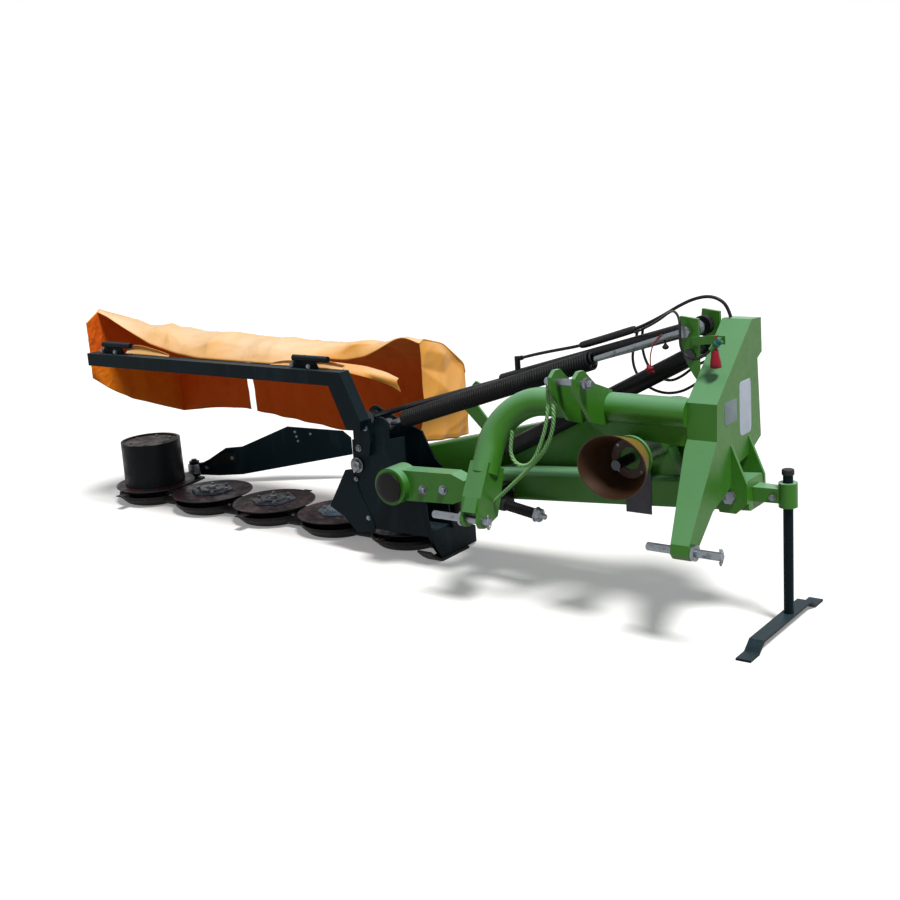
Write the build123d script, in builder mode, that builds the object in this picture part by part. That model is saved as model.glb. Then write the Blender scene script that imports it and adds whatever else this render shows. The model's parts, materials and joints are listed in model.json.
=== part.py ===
from build123d import *
import math
import os

# Disc mower for a tractor's three-point hitch, parked with its cutterbar down.
# Every place is written from the hitch: X to the machine's left from the middle of the
# lower hitch pins, Y rearwards from those pins, Z up from the floor. All sizes are in mm.

os.makedirs("parts", exist_ok=True)

# Driving dimensions: parking stand, hitch leg and swath board
stand_x = 619
clamp_r = 32
leg_tip_y = -30
board_pivot = (-2790, 830)
board_angle = 25
board_length = 850
board_sheet = 8

# Driving dimensions: category 2 hitch
pin_z = 344
lower_pin_r = 14.2
top_link_z = 868
top_link_y = 30
top_pin_r = 12.7
ear_gap = 78
ear_plate = 14
top_link_x = -10

# Driving dimensions: headstock
tube_r = 52
tube_y = 220
tube_z = 747
bend_r = 190
bent_leg_x = -415
mast_outer_x = 450
mast_inner_x = 342
mast_plate = 12
leg_tip_width = 66
gusset_plate = 12
gusset_front_y = 200

# Driving dimensions: link pins at the mast top, and the fold hinge
mast_pin = (300, 1010)
strut_pin = (312, 930)
link_pin_r = 14
ear_front_y = 292
ear_rear_y = 457
mast_ear_plate = 13
hinge_x = -960
hinge_z = 353
hinge_front_y = 196
hinge_back_y = 300
barrel_r = 75
hinge_pin_r = 45

# Driving dimensions: beam and belt guard
beam_front_y = 308
beam_depth = 130
beam_height = 106
beam_wall = 8
beam_end_x = -650
beam_slope = 4.27
beam_pivot_x = 445
beam_pivot_z = 450
guard_front_y = 462
guard_depth = 54
input_x = 150
input_z = 592
guard_input_r = 140
guard_hinge_r = 105

# Driving dimensions: cutterbar and discs
disc_count = 5
disc_pitch = 405.6
first_disc_x = -1140
disc_y = 540
disc_r = 191
disc_under_z = 82
blade_reach = 236
drum_r = 146
drum_top_z = 304
bar_bottom_z = 10
bar_height = 44
bar_width = 170

# Driving dimensions: skirt frame and canopy
skirt_tube = 58
skirt_y = 270
skirt_z = 760
skirt_outer_x = -2777
skirt_inner_x = -1213
cloth = 5
canopy_outer_x = -2830
canopy_inner_x = -1030
canopy_rear_y = 840

# Running clearances
slip = 0.05
face_gap = 0.3
move_gap = 5

# The hitch's place puts the machine's middle over the origin
last_disc_x = first_disc_x - (disc_count - 1) * disc_pitch
hitch_x = -(last_disc_x - disc_r + stand_x + clamp_r) / 2
board_tip_y = board_pivot[1] + board_length * math.sin(math.radians(board_angle))
hitch_y = -(leg_tip_y + board_tip_y + board_sheet * math.cos(math.radians(board_angle))) / 2


def across(y):
    """Upright plane facing the tractor: local x runs along X, local y is height, extrudes forward."""
    return Plane(origin=(hitch_x, hitch_y + y, 0), x_dir=(1, 0, 0), z_dir=(0, -1, 0))


def along(x):
    """Upright plane facing the machine's left: local x runs rearwards, local y is height."""
    return Plane(origin=(hitch_x + x, hitch_y, 0), x_dir=(0, 1, 0), z_dir=(1, 0, 0))


def level(z):
    """Level plane: local x and y run along X and Y, extrudes upwards."""
    return Plane(origin=(hitch_x, hitch_y, z))


def point(x, y, z):
    return (hitch_x + x, hitch_y + y, z)


def rod_between(y, start, end, start_cut, end_cut):
    """Plane at the start of a rod in an upright plane y, facing along it, and the rod's length."""
    (x0, z0), (x1, z1) = start, end
    full = math.hypot(x1 - x0, z1 - z0)
    ux = (x1 - x0) / full
    uz = (z1 - z0) / full
    origin = point(x0 + ux * start_cut, y, z0 + uz * start_cut)
    return Plane(origin=origin, x_dir=(0, 1, 0), z_dir=(ux, 0, uz)), full - start_cut - end_cut


def flexible(label, radius, points):
    """A hose or rope: straight runs joined by the widest arcs that its route has room for."""
    route = [Vector(*point(*p)) for p in points]
    bends = []
    for before, at, after in zip(route, route[1:], route[2:]):
        half_turn = math.radians((at - before).get_angle(after - at)) / 2
        bends.append(0.45 * min((at - before).length, (after - at).length) / math.tan(half_turn))
    with BuildPart() as tube:
        with BuildLine():
            path = FilletPolyline(*route, radius=bends)
        with BuildSketch(Plane(origin=path @ 0, z_dir=path % 0)):
            Circle(radius)
        sweep()
    true_volume = math.pi * radius ** 2 * path.length
    print(label, "length", round(path.length, 1), "tightest bend", round(min(bends), 1),
          "volume ratio", round(tube.part.volume / true_volume, 4))
    save(tube, label)


def save(piece, label):
    piece.part.label = label
    export_step(piece.part, f"parts/{label}.step")


# Mast with the left lower-link leg: one tapered box of side plates and a front plate
mast_outline = [
    (552, 1021), (478, 1026), (199, 789), (194, 665), (-24, 372), (leg_tip_y, 340), (-12, 318),
    (14, 316), (34, 338), (154, 438), (294, 486), (343, 550), (449, 566), (542, 608),
    (520, 885), (556, 902),
]
with BuildPart() as leg_wedge:
    with BuildSketch(across(700)):
        with BuildLine():
            Polyline((mast_inner_x - 5, 665), (mast_outer_x - leg_tip_width, 372),
                     (mast_outer_x - leg_tip_width, 280), (mast_inner_x - 5, 280), close=True)
        make_face()
    extrude(amount=800)

with BuildPart() as mast_hollow:
    with BuildSketch(along(mast_inner_x + mast_plate)):
        with BuildLine():
            Polyline([(y + 15, z - 10) for y, z in mast_outline], close=True)
        make_face()
    extrude(amount=mast_outer_x - mast_inner_x - 2 * mast_plate)
    with BuildSketch(across(700)):
        with BuildLine():
            Polyline((mast_inner_x, 665), (mast_outer_x - leg_tip_width + mast_plate, 372),
                     (mast_outer_x - leg_tip_width + mast_plate, 280), (mast_inner_x, 280), close=True)
        make_face()
    extrude(amount=800, mode=Mode.SUBTRACT)

with BuildPart() as mast:
    with BuildSketch(along(mast_inner_x)):
        with BuildLine():
            Polyline(mast_outline, close=True)
        make_face()
    extrude(amount=mast_outer_x - mast_inner_x)
    add(leg_wedge.part, mode=Mode.SUBTRACT)
    add(mast_hollow.part, mode=Mode.SUBTRACT)
    with BuildSketch(along(mast_inner_x)):
        with Locations((0, pin_z)):
            Circle(lower_pin_r + slip)
    extrude(amount=mast_outer_x - mast_inner_x, mode=Mode.SUBTRACT)
save(mast, "mast")

# Bent hitch tube, from the mast round to the right lower link
leg_lean = (tube_z - pin_z) / tube_y
tube_foot_y = 82
tube_foot_z = pin_z + tube_foot_y * leg_lean
with BuildPart() as hitch_tube:
    with BuildLine():
        FilletPolyline(
            point(mast_inner_x, tube_y, tube_z),
            point(bent_leg_x, tube_y, tube_z),
            point(bent_leg_x, tube_foot_y, tube_foot_z),
            radius=bend_r,
        )
    with BuildSketch(along(mast_inner_x)):
        with Locations((tube_y, tube_z)):
            Circle(tube_r)
    sweep()
save(hitch_tube, "hitch_tube")

# Fork at the tube's foot: two plates and the web between them
fork_plate = 12
fork_gap = 56
fork_outline = [
    (leg_tip_y, 344), (-18, 320), (12, 312), (95, 336), (118, 392), (152, 500), (58, 548), (-6, 430),
]
with BuildPart() as right_fork:
    for inner_x in (bent_leg_x - fork_gap / 2 - fork_plate, bent_leg_x + fork_gap / 2):
        with BuildSketch(along(inner_x)):
            with BuildLine():
                Polyline(fork_outline, close=True)
            make_face()
        extrude(amount=fork_plate)
    with BuildSketch(along(bent_leg_x - fork_gap / 2)):
        with BuildLine():
            Polyline((-30, 380), (-6, 430), (58, 548), (70, 542), (8, 424), (-18, 376), close=True)
        make_face()
    extrude(amount=fork_gap)
    add(hitch_tube.part, mode=Mode.SUBTRACT)
    with BuildSketch(along(bent_leg_x - 60)):
        with Locations((0, pin_z)):
            Circle(lower_pin_r + slip)
    extrude(amount=120, mode=Mode.SUBTRACT)
save(right_fork, "right_fork")

# Gusset web hanging below the straight part of the tube
with BuildPart() as tube_gusset:
    with BuildSketch(across(gusset_front_y + gusset_plate)):
        with BuildLine():
            Polyline((-70, 712), (mast_inner_x, 712), (mast_inner_x, 637), (20, 652), close=True)
        make_face()
    extrude(amount=gusset_plate)
    add(hitch_tube.part, mode=Mode.SUBTRACT)
save(tube_gusset, "tube_gusset")

# Top link ears, welded on the tube
ear_outline = [
    (-12, 850), (-10, 890), (18, 910), (50, 908), (120, 850), (232, 806), (250, 750),
    (228, 700), (178, 692), (90, 722),
]
with BuildPart() as top_link_ears:
    for inner_x in (top_link_x - ear_gap / 2 - ear_plate, top_link_x + ear_gap / 2):
        with BuildSketch(along(inner_x)):
            with BuildLine():
                Polyline(ear_outline, close=True)
            make_face()
        extrude(amount=ear_plate)
    add(hitch_tube.part, mode=Mode.SUBTRACT)
    add(tube_gusset.part, mode=Mode.SUBTRACT)
    with BuildSketch(along(top_link_x - 80)):
        with Locations((top_link_y, top_link_z)):
            Circle(top_pin_r + slip)
    extrude(amount=160, mode=Mode.SUBTRACT)
save(top_link_ears, "top_link_ears")

# Hitch pins: x runs from the inner end to the outer end
pin_table = [
    # label, y, z, radius, end x, other end x, collar x, collar radius, collar length
    ("hitch_pin_left", 0, pin_z, lower_pin_r, 285, 556, 452, 27, 12),
    ("hitch_pin_right", 0, pin_z, lower_pin_r, -596, -345, -470, 27, 12),
    ("top_link_pin", top_link_y, top_link_z, top_pin_r, -98, 84, 56, 20, 10),
]
for label, y, z, radius, end_a, end_b, collar_x, collar_r, collar_length in pin_table:
    with BuildPart() as hitch_pin:
        with BuildSketch(along(end_a)):
            with Locations((y, z)):
                Circle(radius)
        extrude(amount=end_b - end_a)
        chamfer(hitch_pin.faces().filter_by(Axis.X).edges(), length=3)
        with BuildSketch(along(collar_x)):
            with Locations((y, z)):
                Circle(collar_r)
        extrude(amount=collar_length)
    save(hitch_pin, label)

# Ears at the mast top, front and rear, that hold the link pins
ear_top_z = mast_pin[1] + 50
ear_foot_z = mast_pin[1] - 174
ear_tip_x = mast_pin[0] - 23
ear_table = [
    # label, back face y
    ("mast_ear_front", ear_front_y + mast_ear_plate),
    ("mast_ear_rear", ear_rear_y + mast_ear_plate),
]
for label, back_y in ear_table:
    with BuildPart() as mast_ear:
        with BuildSketch(across(back_y)):
            with BuildLine():
                ThreePointArc((mast_inner_x, ear_foot_z), (ear_tip_x, mast_pin[1] - 38), (ear_tip_x, ear_top_z))
                Polyline((ear_tip_x, ear_top_z), (mast_inner_x, ear_top_z - 8), (mast_inner_x, ear_foot_z))
            make_face()
            with Locations(mast_pin, strut_pin):
                Circle(link_pin_r + slip, mode=Mode.SUBTRACT)
        extrude(amount=mast_ear_plate)
    save(mast_ear, label)

pin_front_y = ear_front_y - 12
pin_back_y = ear_rear_y + mast_ear_plate + 12
for label, spot, head_y in (("link_pin", mast_pin, pin_front_y), ("strut_pin", strut_pin, ear_front_y)):
    with BuildPart() as pivot_pin:
        with BuildSketch(across(pin_back_y)):
            with Locations(spot):
                Circle(link_pin_r)
        extrude(amount=pin_back_y - head_y)
        with BuildSketch(across(head_y)):
            with Locations(spot):
                RegularPolygon(22, 6)
        extrude(amount=10)
    save(pivot_pin, label)

# Beam: a box section that slopes down to the hinge
beam_length = beam_pivot_x + 60 - beam_end_x
slope = math.radians(beam_slope)
beam_plane = Plane(
    origin=point(beam_pivot_x, beam_front_y + beam_depth / 2, beam_pivot_z),
    x_dir=(0, 1, 0),
    z_dir=(-math.cos(slope), 0, -math.sin(slope)),
)
with BuildPart() as beam:
    with BuildSketch(beam_plane.offset(-60)):
        RectangleRounded(beam_depth, beam_height, 14)
    extrude(amount=beam_length)
    with BuildSketch(beam_plane.offset(-20)):
        Rectangle(beam_depth - 2 * beam_wall, beam_height - 2 * beam_wall)
    extrude(amount=beam_length - 60, mode=Mode.SUBTRACT)
save(beam, "beam")


def beam_top(x):
    """Height of the beam's top face."""
    return beam_pivot_z + (x - beam_pivot_x) * math.tan(slope) + beam_height / 2 / math.cos(slope)


weld_sink = 4

# Pivot plates that hold the beam's root under the mast
pivot_plate = 12
with BuildPart() as beam_pivot_plates:
    for back_y in (beam_front_y, beam_front_y + beam_depth + pivot_plate):
        with BuildSketch(across(back_y)):
            with BuildLine():
                Polyline((mast_inner_x + 30, 660), (mast_outer_x - mast_plate, 660),
                         (beam_pivot_x + 60, 500), (beam_pivot_x + 62, 430), (beam_pivot_x + 20, 392),
                         (beam_pivot_x - 40, 392), (mast_inner_x + 30, 480), close=True)
            make_face()
        extrude(amount=pivot_plate)
    add(mast.part, mode=Mode.SUBTRACT)
save(beam_pivot_plates, "beam_pivot_plates")

with BuildPart() as beam_pivot_bolt:
    with BuildSketch(across(beam_front_y - pivot_plate)):
        with Locations((beam_pivot_x, beam_pivot_z)):
            RegularPolygon(24, 6)
    extrude(amount=16)
save(beam_pivot_bolt, "beam_pivot_bolt")

# Hinge barrel on its arm, bolted to the beam's end
arm_end_x = -620
with BuildPart() as hinge_arm:
    with BuildSketch(across(hinge_back_y)):
        with BuildLine():
            Polyline((hinge_x, hinge_z + 62), (arm_end_x - 60, hinge_z + 74), (arm_end_x, hinge_z + 52),
                     (arm_end_x, hinge_z - 22), (arm_end_x - 60, hinge_z - 46), (hinge_x, hinge_z - 62),
                     close=True)
        make_face()
    extrude(amount=70)
    with BuildSketch(across(hinge_back_y)):
        with Locations((hinge_x, hinge_z)):
            Circle(barrel_r)
    extrude(amount=hinge_back_y - hinge_front_y)
    with BuildSketch(across(hinge_back_y)):
        with Locations((hinge_x, hinge_z)):
            Circle(hinge_pin_r + slip)
    extrude(amount=hinge_back_y - hinge_front_y, mode=Mode.SUBTRACT)
    with BuildSketch(across(beam_front_y)):
        with BuildLine():
            Polyline((beam_end_x, hinge_z + 60), (arm_end_x, hinge_z + 52),
                     (arm_end_x, hinge_z - 22), (beam_end_x, hinge_z - 30), close=True)
        make_face()
    extrude(amount=beam_front_y - hinge_back_y + 10)
save(hinge_arm, "hinge_arm")

# Belt guard: a flat housing from the input shaft to the hinge line
guard_back_y = guard_front_y + guard_depth
guard_run = math.hypot(input_x - hinge_x, input_z - hinge_z)
guard_angle = math.degrees(math.atan2(input_z - hinge_z, input_x - hinge_x))
flare = math.degrees(math.asin((guard_input_r - guard_hinge_r) / guard_run))


def rim(x, z, radius, degrees):
    return (x + radius * math.cos(math.radians(degrees)), z + radius * math.sin(math.radians(degrees)))


top_angle = guard_angle + 90 + flare
low_angle = guard_angle - 90 - flare
with BuildPart() as belt_guard:
    with BuildSketch(across(guard_back_y)):
        with BuildLine():
            Line(rim(hinge_x, hinge_z, guard_hinge_r, top_angle),
                 rim(input_x, input_z, guard_input_r, top_angle))
            ThreePointArc(rim(input_x, input_z, guard_input_r, top_angle),
                          rim(input_x, input_z, guard_input_r, guard_angle),
                          rim(input_x, input_z, guard_input_r, low_angle))
            Line(rim(input_x, input_z, guard_input_r, low_angle),
                 rim(hinge_x, hinge_z, guard_hinge_r, low_angle))
            ThreePointArc(rim(hinge_x, hinge_z, guard_hinge_r, low_angle),
                          rim(hinge_x, hinge_z, guard_hinge_r, guard_angle + 180),
                          rim(hinge_x, hinge_z, guard_hinge_r, top_angle))
        make_face()
    extrude(amount=guard_depth)
    fillet(belt_guard.faces().sort_by(Axis.Y)[0].edges(), radius=12)
save(belt_guard, "belt_guard")

# Brackets that hold the guard off the beam's back face
beam_back_y = beam_front_y + beam_depth
with BuildPart() as guard_brackets:
    for x in (-520, 60):
        beam_mid_z = beam_pivot_z + (x - beam_pivot_x) * math.tan(slope)
        with BuildSketch(across(guard_front_y)):
            with Locations((x, beam_mid_z + 10)):
                Rectangle(60, 70)
        extrude(amount=guard_front_y - beam_back_y)
save(guard_brackets, "guard_brackets")

# Input bearing housing, its bell guard and the splined shaft
bell_front_y = 20
bell_base_y = 150
housing_r = 44
spline_r = 17.5
spline_length = 100
journal_r = 22
bell_flange_r = 78
bell_flange = 12
with BuildPart() as input_housing:
    with BuildSketch(across(guard_front_y)):
        with Locations((input_x, input_z)):
            Circle(housing_r)
    extrude(amount=guard_front_y - bell_base_y - bell_flange)
    with BuildSketch(across(bell_base_y + bell_flange)):
        with Locations((input_x, input_z)):
            Circle(bell_flange_r)
    extrude(amount=bell_flange)
    with BuildSketch(across(beam_front_y + 95)):
        with BuildLine():
            Polyline((input_x - 70, beam_top(input_x - 70) - weld_sink),
                     (input_x + 90, beam_top(input_x + 90) - weld_sink),
                     (input_x + 38, input_z), (input_x - 38, input_z), close=True)
        make_face()
    extrude(amount=60)
    with BuildSketch(across(guard_front_y)):
        with Locations((input_x, input_z)):
            Circle(journal_r + slip)
    extrude(amount=guard_front_y - bell_base_y, mode=Mode.SUBTRACT)
    add(beam.part, mode=Mode.SUBTRACT)
save(input_housing, "input_housing")

with BuildPart() as bell_guard:
    with BuildSketch(across(bell_base_y)):
        with Locations((input_x, input_z)):
            Circle(72)
    with BuildSketch(across(bell_front_y)):
        with Locations((input_x, input_z)):
            Ellipse(132, 112)
    loft()
    bell_openings = bell_guard.faces().filter_by(Axis.Y)
    offset(amount=-4, openings=bell_openings)
    with BuildSketch(across(bell_base_y)):
        with Locations((input_x, input_z)):
            Circle(72)
            Circle(40, mode=Mode.SUBTRACT)
    extrude(amount=5)
save(bell_guard, "bell_guard")

with BuildPart() as input_shaft:
    with BuildSketch(across(guard_front_y - face_gap)):
        with Locations((input_x, input_z)):
            Circle(journal_r)
    extrude(amount=guard_front_y - face_gap - bell_base_y)
    with BuildSketch(across(bell_base_y)):
        with Locations((input_x, input_z)):
            Circle(spline_r)
    extrude(amount=spline_length)
save(input_shaft, "input_shaft")

# Grey flap that hangs on the beam's front face, under the bell
flap_x = 90
flap_width = 102
flap_top_z = 508
flap_bottom_z = 346
flap_thickness = 3
with BuildPart() as drip_plate:
    with BuildSketch(across(beam_front_y)):
        with Locations((flap_x, (flap_top_z + flap_bottom_z) / 2)):
            Rectangle(flap_width, flap_top_z - flap_bottom_z)
    extrude(amount=flap_thickness)
save(drip_plate, "drip_plate")

# Stand holder: arm from the beam's root to the clamp sleeve
stand_y = 372
leg_r = 17
clamp_bottom_z = 416
clamp_top_z = 500
with BuildPart() as stand_holder:
    with BuildSketch(level(430)):
        with BuildLine():
            Polyline((beam_pivot_x + 60, stand_y - 32), (stand_x, stand_y - 22),
                     (stand_x, stand_y + 22), (beam_pivot_x + 60, stand_y + 32), close=True)
        make_face()
    extrude(amount=50)
    with BuildSketch(level(clamp_bottom_z)):
        with Locations((stand_x, stand_y)):
            Circle(clamp_r)
    extrude(amount=clamp_top_z - clamp_bottom_z)
    add(beam.part, mode=Mode.SUBTRACT)
    with BuildSketch(level(clamp_bottom_z)):
        with Locations((stand_x, stand_y)):
            Circle(leg_r + slip)
    extrude(amount=clamp_top_z - clamp_bottom_z, mode=Mode.SUBTRACT)
save(stand_holder, "stand_holder")

# Parking stand: leg and arched foot bar
foot_front_y = stand_y - 372
foot_back_y = stand_y + 244
foot_half_width = 26
foot_rise = 30
foot_plate = 8
leg_top_z = 528
with BuildPart() as stand_leg:
    with BuildSketch(along(stand_x - foot_half_width)):
        with BuildLine():
            Polyline(
                (foot_front_y, 0), (foot_front_y + 70, 0), (foot_front_y + 110, foot_rise),
                (foot_back_y - 110, foot_rise), (foot_back_y - 70, 0), (foot_back_y, 0),
                (foot_back_y, foot_plate), (foot_back_y - 66, foot_plate),
                (foot_back_y - 106, foot_rise + foot_plate), (foot_front_y + 106, foot_rise + foot_plate),
                (foot_front_y + 66, foot_plate), (foot_front_y, foot_plate), close=True,
            )
        make_face()
    extrude(amount=2 * foot_half_width)
    with BuildSketch(level(foot_rise + foot_plate)):
        with Locations((stand_x, stand_y)):
            Circle(leg_r)
    extrude(amount=leg_top_z - foot_rise - foot_plate)
save(stand_leg, "stand_leg")

with BuildPart() as stand_cap:
    with BuildSketch(level(leg_top_z)):
        with Locations((stand_x, stand_y)):
            Circle(leg_r + 4)
    extrude(amount=18)
    fillet(stand_cap.faces().sort_by(Axis.Z)[-1].edges(), radius=4)
save(stand_cap, "stand_cap")

# Fold cylinder and relief spring: both start at the link pin
spring_y = 350
fold_y = 418
eye_width = 30
eye_r = 34
spring_end = (-1074, 563)
fold_end = (-1215, 569)
barrel_outer_r = 26
barrel_start = 46
barrel_length = 830
fold_rod_r = 12

barrel_plane, fold_length = rod_between(fold_y, mast_pin, fold_end, 0, 0)
port_height = 52
port_along = 802
elbow_length = 24
port_foot = barrel_plane.origin + barrel_plane.z_dir * port_along + Vector(0, 0, barrel_outer_r - 2)
port_plane = Plane(origin=port_foot, z_dir=(0, 0, 1))
elbow_plane = Plane(origin=port_foot + Vector(0, 0, port_height - 10), z_dir=(1, 0, 0.27))
with BuildPart() as fold_barrel:
    with BuildSketch(across(fold_y + eye_width / 2)):
        with Locations(mast_pin):
            Circle(eye_r)
    extrude(amount=eye_width)
    with BuildSketch(barrel_plane.offset(20)):
        Circle(barrel_outer_r - 6)
    extrude(amount=barrel_start)
    with BuildSketch(barrel_plane.offset(barrel_start)):
        Circle(barrel_outer_r)
    extrude(amount=barrel_length)
    with BuildSketch(across(fold_y + eye_width / 2)):
        with Locations(mast_pin):
            Circle(link_pin_r + slip)
    extrude(amount=eye_width, mode=Mode.SUBTRACT)
    with BuildSketch(barrel_plane.offset(barrel_start + 20)):
        Circle(fold_rod_r + slip)
    extrude(amount=barrel_length - 20, mode=Mode.SUBTRACT)
    with BuildSketch(barrel_plane.offset(barrel_start + 20)):
        Circle(barrel_outer_r - 5)
    extrude(amount=barrel_length - 60, mode=Mode.SUBTRACT)
    with BuildSketch(port_plane):
        Circle(11)
    extrude(amount=port_height)
    with BuildSketch(elbow_plane):
        Circle(9)
    extrude(amount=elbow_length)
save(fold_barrel, "fold_barrel")

with BuildPart() as fold_rod:
    with BuildSketch(barrel_plane.offset(barrel_start + barrel_length - 200)):
        Circle(fold_rod_r)
    extrude(amount=fold_length - barrel_start - barrel_length + 200 - 20)
    with BuildSketch(across(fold_y + eye_width / 2)):
        with Locations(fold_end):
            Circle(26)
    extrude(amount=eye_width)
save(fold_rod, "fold_rod")

spring_plane, spring_span = rod_between(spring_y, mast_pin, spring_end, 0, 0)
thread_length = 410
hook_length = 85
coil_length = spring_span - thread_length - hook_length
coil_r = 36
thread_r = 11
with BuildPart() as relief_rod:
    with BuildSketch(across(spring_y + eye_width / 2)):
        with Locations(mast_pin):
            Circle(eye_r - 4)
    extrude(amount=eye_width)
    with BuildSketch(spring_plane.offset(20)):
        Circle(thread_r)
    extrude(amount=thread_length - 20)
    with BuildSketch(across(spring_y + eye_width / 2)):
        with Locations(mast_pin):
            Circle(link_pin_r + slip)
    extrude(amount=eye_width, mode=Mode.SUBTRACT)
save(relief_rod, "relief_rod")

with BuildPart() as relief_spring:
    with BuildSketch(spring_plane.offset(thread_length)):
        Circle(coil_r)
    extrude(amount=coil_length)
save(relief_spring, "relief_spring")

with BuildPart() as relief_hook:
    with BuildSketch(spring_plane.offset(thread_length + coil_length)):
        Circle(thread_r)
    extrude(amount=hook_length - 12)
    with BuildSketch(across(spring_y + eye_width / 2)):
        with Locations(spring_end):
            Circle(24)
    extrude(amount=eye_width)
save(relief_hook, "relief_hook")

# Beam float strut: sleeve between the strut pin and the beam's lug
strut_y = 405
strut_end = (-600, 460)
strut_eye_r = 26
sleeve_end_gap = 84
strut_plane, strut_length = rod_between(strut_y, strut_pin, strut_end, 0, 0)
with BuildPart() as float_strut:
    with BuildSketch(across(strut_y + eye_width / 2)):
        with Locations(strut_pin, strut_end):
            Circle(strut_eye_r)
    extrude(amount=eye_width)
    with BuildSketch(strut_plane.offset(strut_eye_r - 4)):
        Circle(14)
    extrude(amount=strut_length - 2 * (strut_eye_r - 4))
    with BuildSketch(strut_plane.offset(60)):
        Circle(33)
    extrude(amount=strut_length - 60 - sleeve_end_gap)
    with BuildSketch(across(strut_y + eye_width / 2)):
        with Locations(strut_pin, strut_end):
            Circle(link_pin_r + slip)
    extrude(amount=eye_width, mode=Mode.SUBTRACT)
save(float_strut, "float_strut")

# Lugs on the beam that hold the strut's lower eye
lug_plate = 11
strut_eye_back_y = strut_y + eye_width / 2
with BuildPart() as strut_lugs:
    for back_y in (strut_y - eye_width / 2 - face_gap, strut_eye_back_y + face_gap + lug_plate):
        with BuildSketch(across(back_y)):
            with BuildLine():
                Polyline((strut_end[0] - 46, beam_top(strut_end[0] - 46) - weld_sink),
                         (strut_end[0] - 30, strut_end[1] + 10), (strut_end[0] - 14, strut_end[1] + 26),
                         (strut_end[0] + 14, strut_end[1] + 26), (strut_end[0] + 30, strut_end[1] + 10),
                         (strut_end[0] + 46, beam_top(strut_end[0] + 46) - weld_sink), close=True)
            make_face()
        extrude(amount=lug_plate)
    with BuildSketch(across(strut_eye_back_y + face_gap + lug_plate)):
        with Locations(strut_end):
            Circle(link_pin_r)
    extrude(amount=eye_width + 2 * face_gap + 2 * lug_plate)
    add(beam.part, mode=Mode.SUBTRACT)
save(strut_lugs, "strut_lugs")

# Cutterbar bracket: two plates on the hinge, a sloping web and the foot on the bar
plate_front_y = hinge_back_y + move_gap
plate = 8
plate_rear_y = 449
foot_front_z = 124
foot_plate_z = 14
gearbox_neck_r = 56
side_x = -872
bracket_edge = [
    (side_x + 22, foot_front_z), (side_x + 4, 196), (side_x, 261), (-893, 330), (-893, 384), (-926, 412),
]
bracket_heel = [(-1237, 300), (-1190, foot_front_z)]
front_outline = bracket_edge + [
    (hinge_x, 420), (hinge_x, 532), (spring_end[0] + 38, 514), (spring_end[0] + 38, spring_end[1]),
    (spring_end[0] - 38, spring_end[1]), (spring_end[0] - 38, 494), (-1149, 486), (-1233, 496),
] + bracket_heel
rear_outline = bracket_edge + [
    (-980, 520), (fold_end[0] + 20, fold_end[1] + 32), (fold_end[0] - 38, fold_end[1]),
] + bracket_heel
with BuildPart() as bar_bracket:
    for back_y, outline, ear in (
        (plate_front_y + plate, front_outline, spring_end),
        (plate_rear_y + plate, rear_outline, fold_end),
    ):
        with BuildSketch(across(back_y)):
            with BuildLine():
                Polyline(outline, close=True)
            make_face()
            with Locations(ear):
                Circle(40)
        extrude(amount=plate)
    with BuildSketch(across(plate_rear_y)):
        with BuildLine():
            Polyline((-1237, 494), (-1225, 494), (-1225, 300), (-1182, foot_front_z + foot_plate_z),
                     (side_x, foot_front_z + foot_plate_z), (side_x, foot_front_z),
                     (-1190, foot_front_z), (-1237, 300), close=True)
        make_face()
    extrude(amount=plate_rear_y - plate_front_y - plate)
    with BuildSketch(level(foot_front_z)):
        with BuildLine():
            Polyline((side_x, plate_rear_y), (side_x, disc_y + 20), (-1190, disc_y + 20),
                     (-1190, plate_rear_y), close=True)
        make_face()
        with Locations((first_disc_x, disc_y)):
            Circle(gearbox_neck_r + slip, mode=Mode.SUBTRACT)
    extrude(amount=foot_plate_z)
    for (x, z), seat_y, seat_height in (
        (spring_end, plate_front_y + plate, spring_y - eye_width / 2 - face_gap - plate_front_y - plate),
        (fold_end, plate_rear_y, plate_rear_y - fold_y - eye_width / 2 - face_gap),
    ):
        forward = seat_y == plate_rear_y
        with BuildSketch(across(seat_y if forward else seat_y + seat_height)):
            with Locations((x, z)):
                Circle(22)
        extrude(amount=seat_height)
save(bar_bracket, "bar_bracket")

# Hinge pin: a black tube fixed in the bracket's front plate
with BuildPart() as hinge_pin:
    with BuildSketch(across(plate_front_y)):
        with Locations((hinge_x, hinge_z)):
            Circle(hinge_pin_r)
            Circle(hinge_pin_r - 14, mode=Mode.SUBTRACT)
    extrude(amount=plate_front_y - hinge_front_y + 8)
save(hinge_pin, "hinge_pin")

# Side leg of the bracket, down past the first disc to the inner shoe
bar_top_z = bar_bottom_z + bar_height
bar_inner_x = -888
with BuildPart() as inner_leg:
    with BuildSketch(along(bar_inner_x)):
        with BuildLine():
            Polyline((plate_front_y + 16, foot_front_z), (352, 60), (390, bar_bottom_z),
                     (630, bar_bottom_z), (630, 80), (disc_y + 20, foot_front_z), close=True)
        make_face()
    extrude(amount=side_x - bar_inner_x)
save(inner_leg, "inner_leg")

shoe_outer_x = -932
shoe_inner_x = -864
with BuildPart() as inner_shoe:
    with BuildSketch(along(shoe_outer_x)):
        with BuildLine():
            Polyline((301, 54), (334, 26), (368, 4), (384, 0), (566, 0), (566, bar_bottom_z),
                     (388, bar_bottom_z), (372, 13), (340, 34), (307, 62), close=True)
        make_face()
    extrude(amount=shoe_inner_x - shoe_outer_x)
save(inner_shoe, "inner_shoe")

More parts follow.
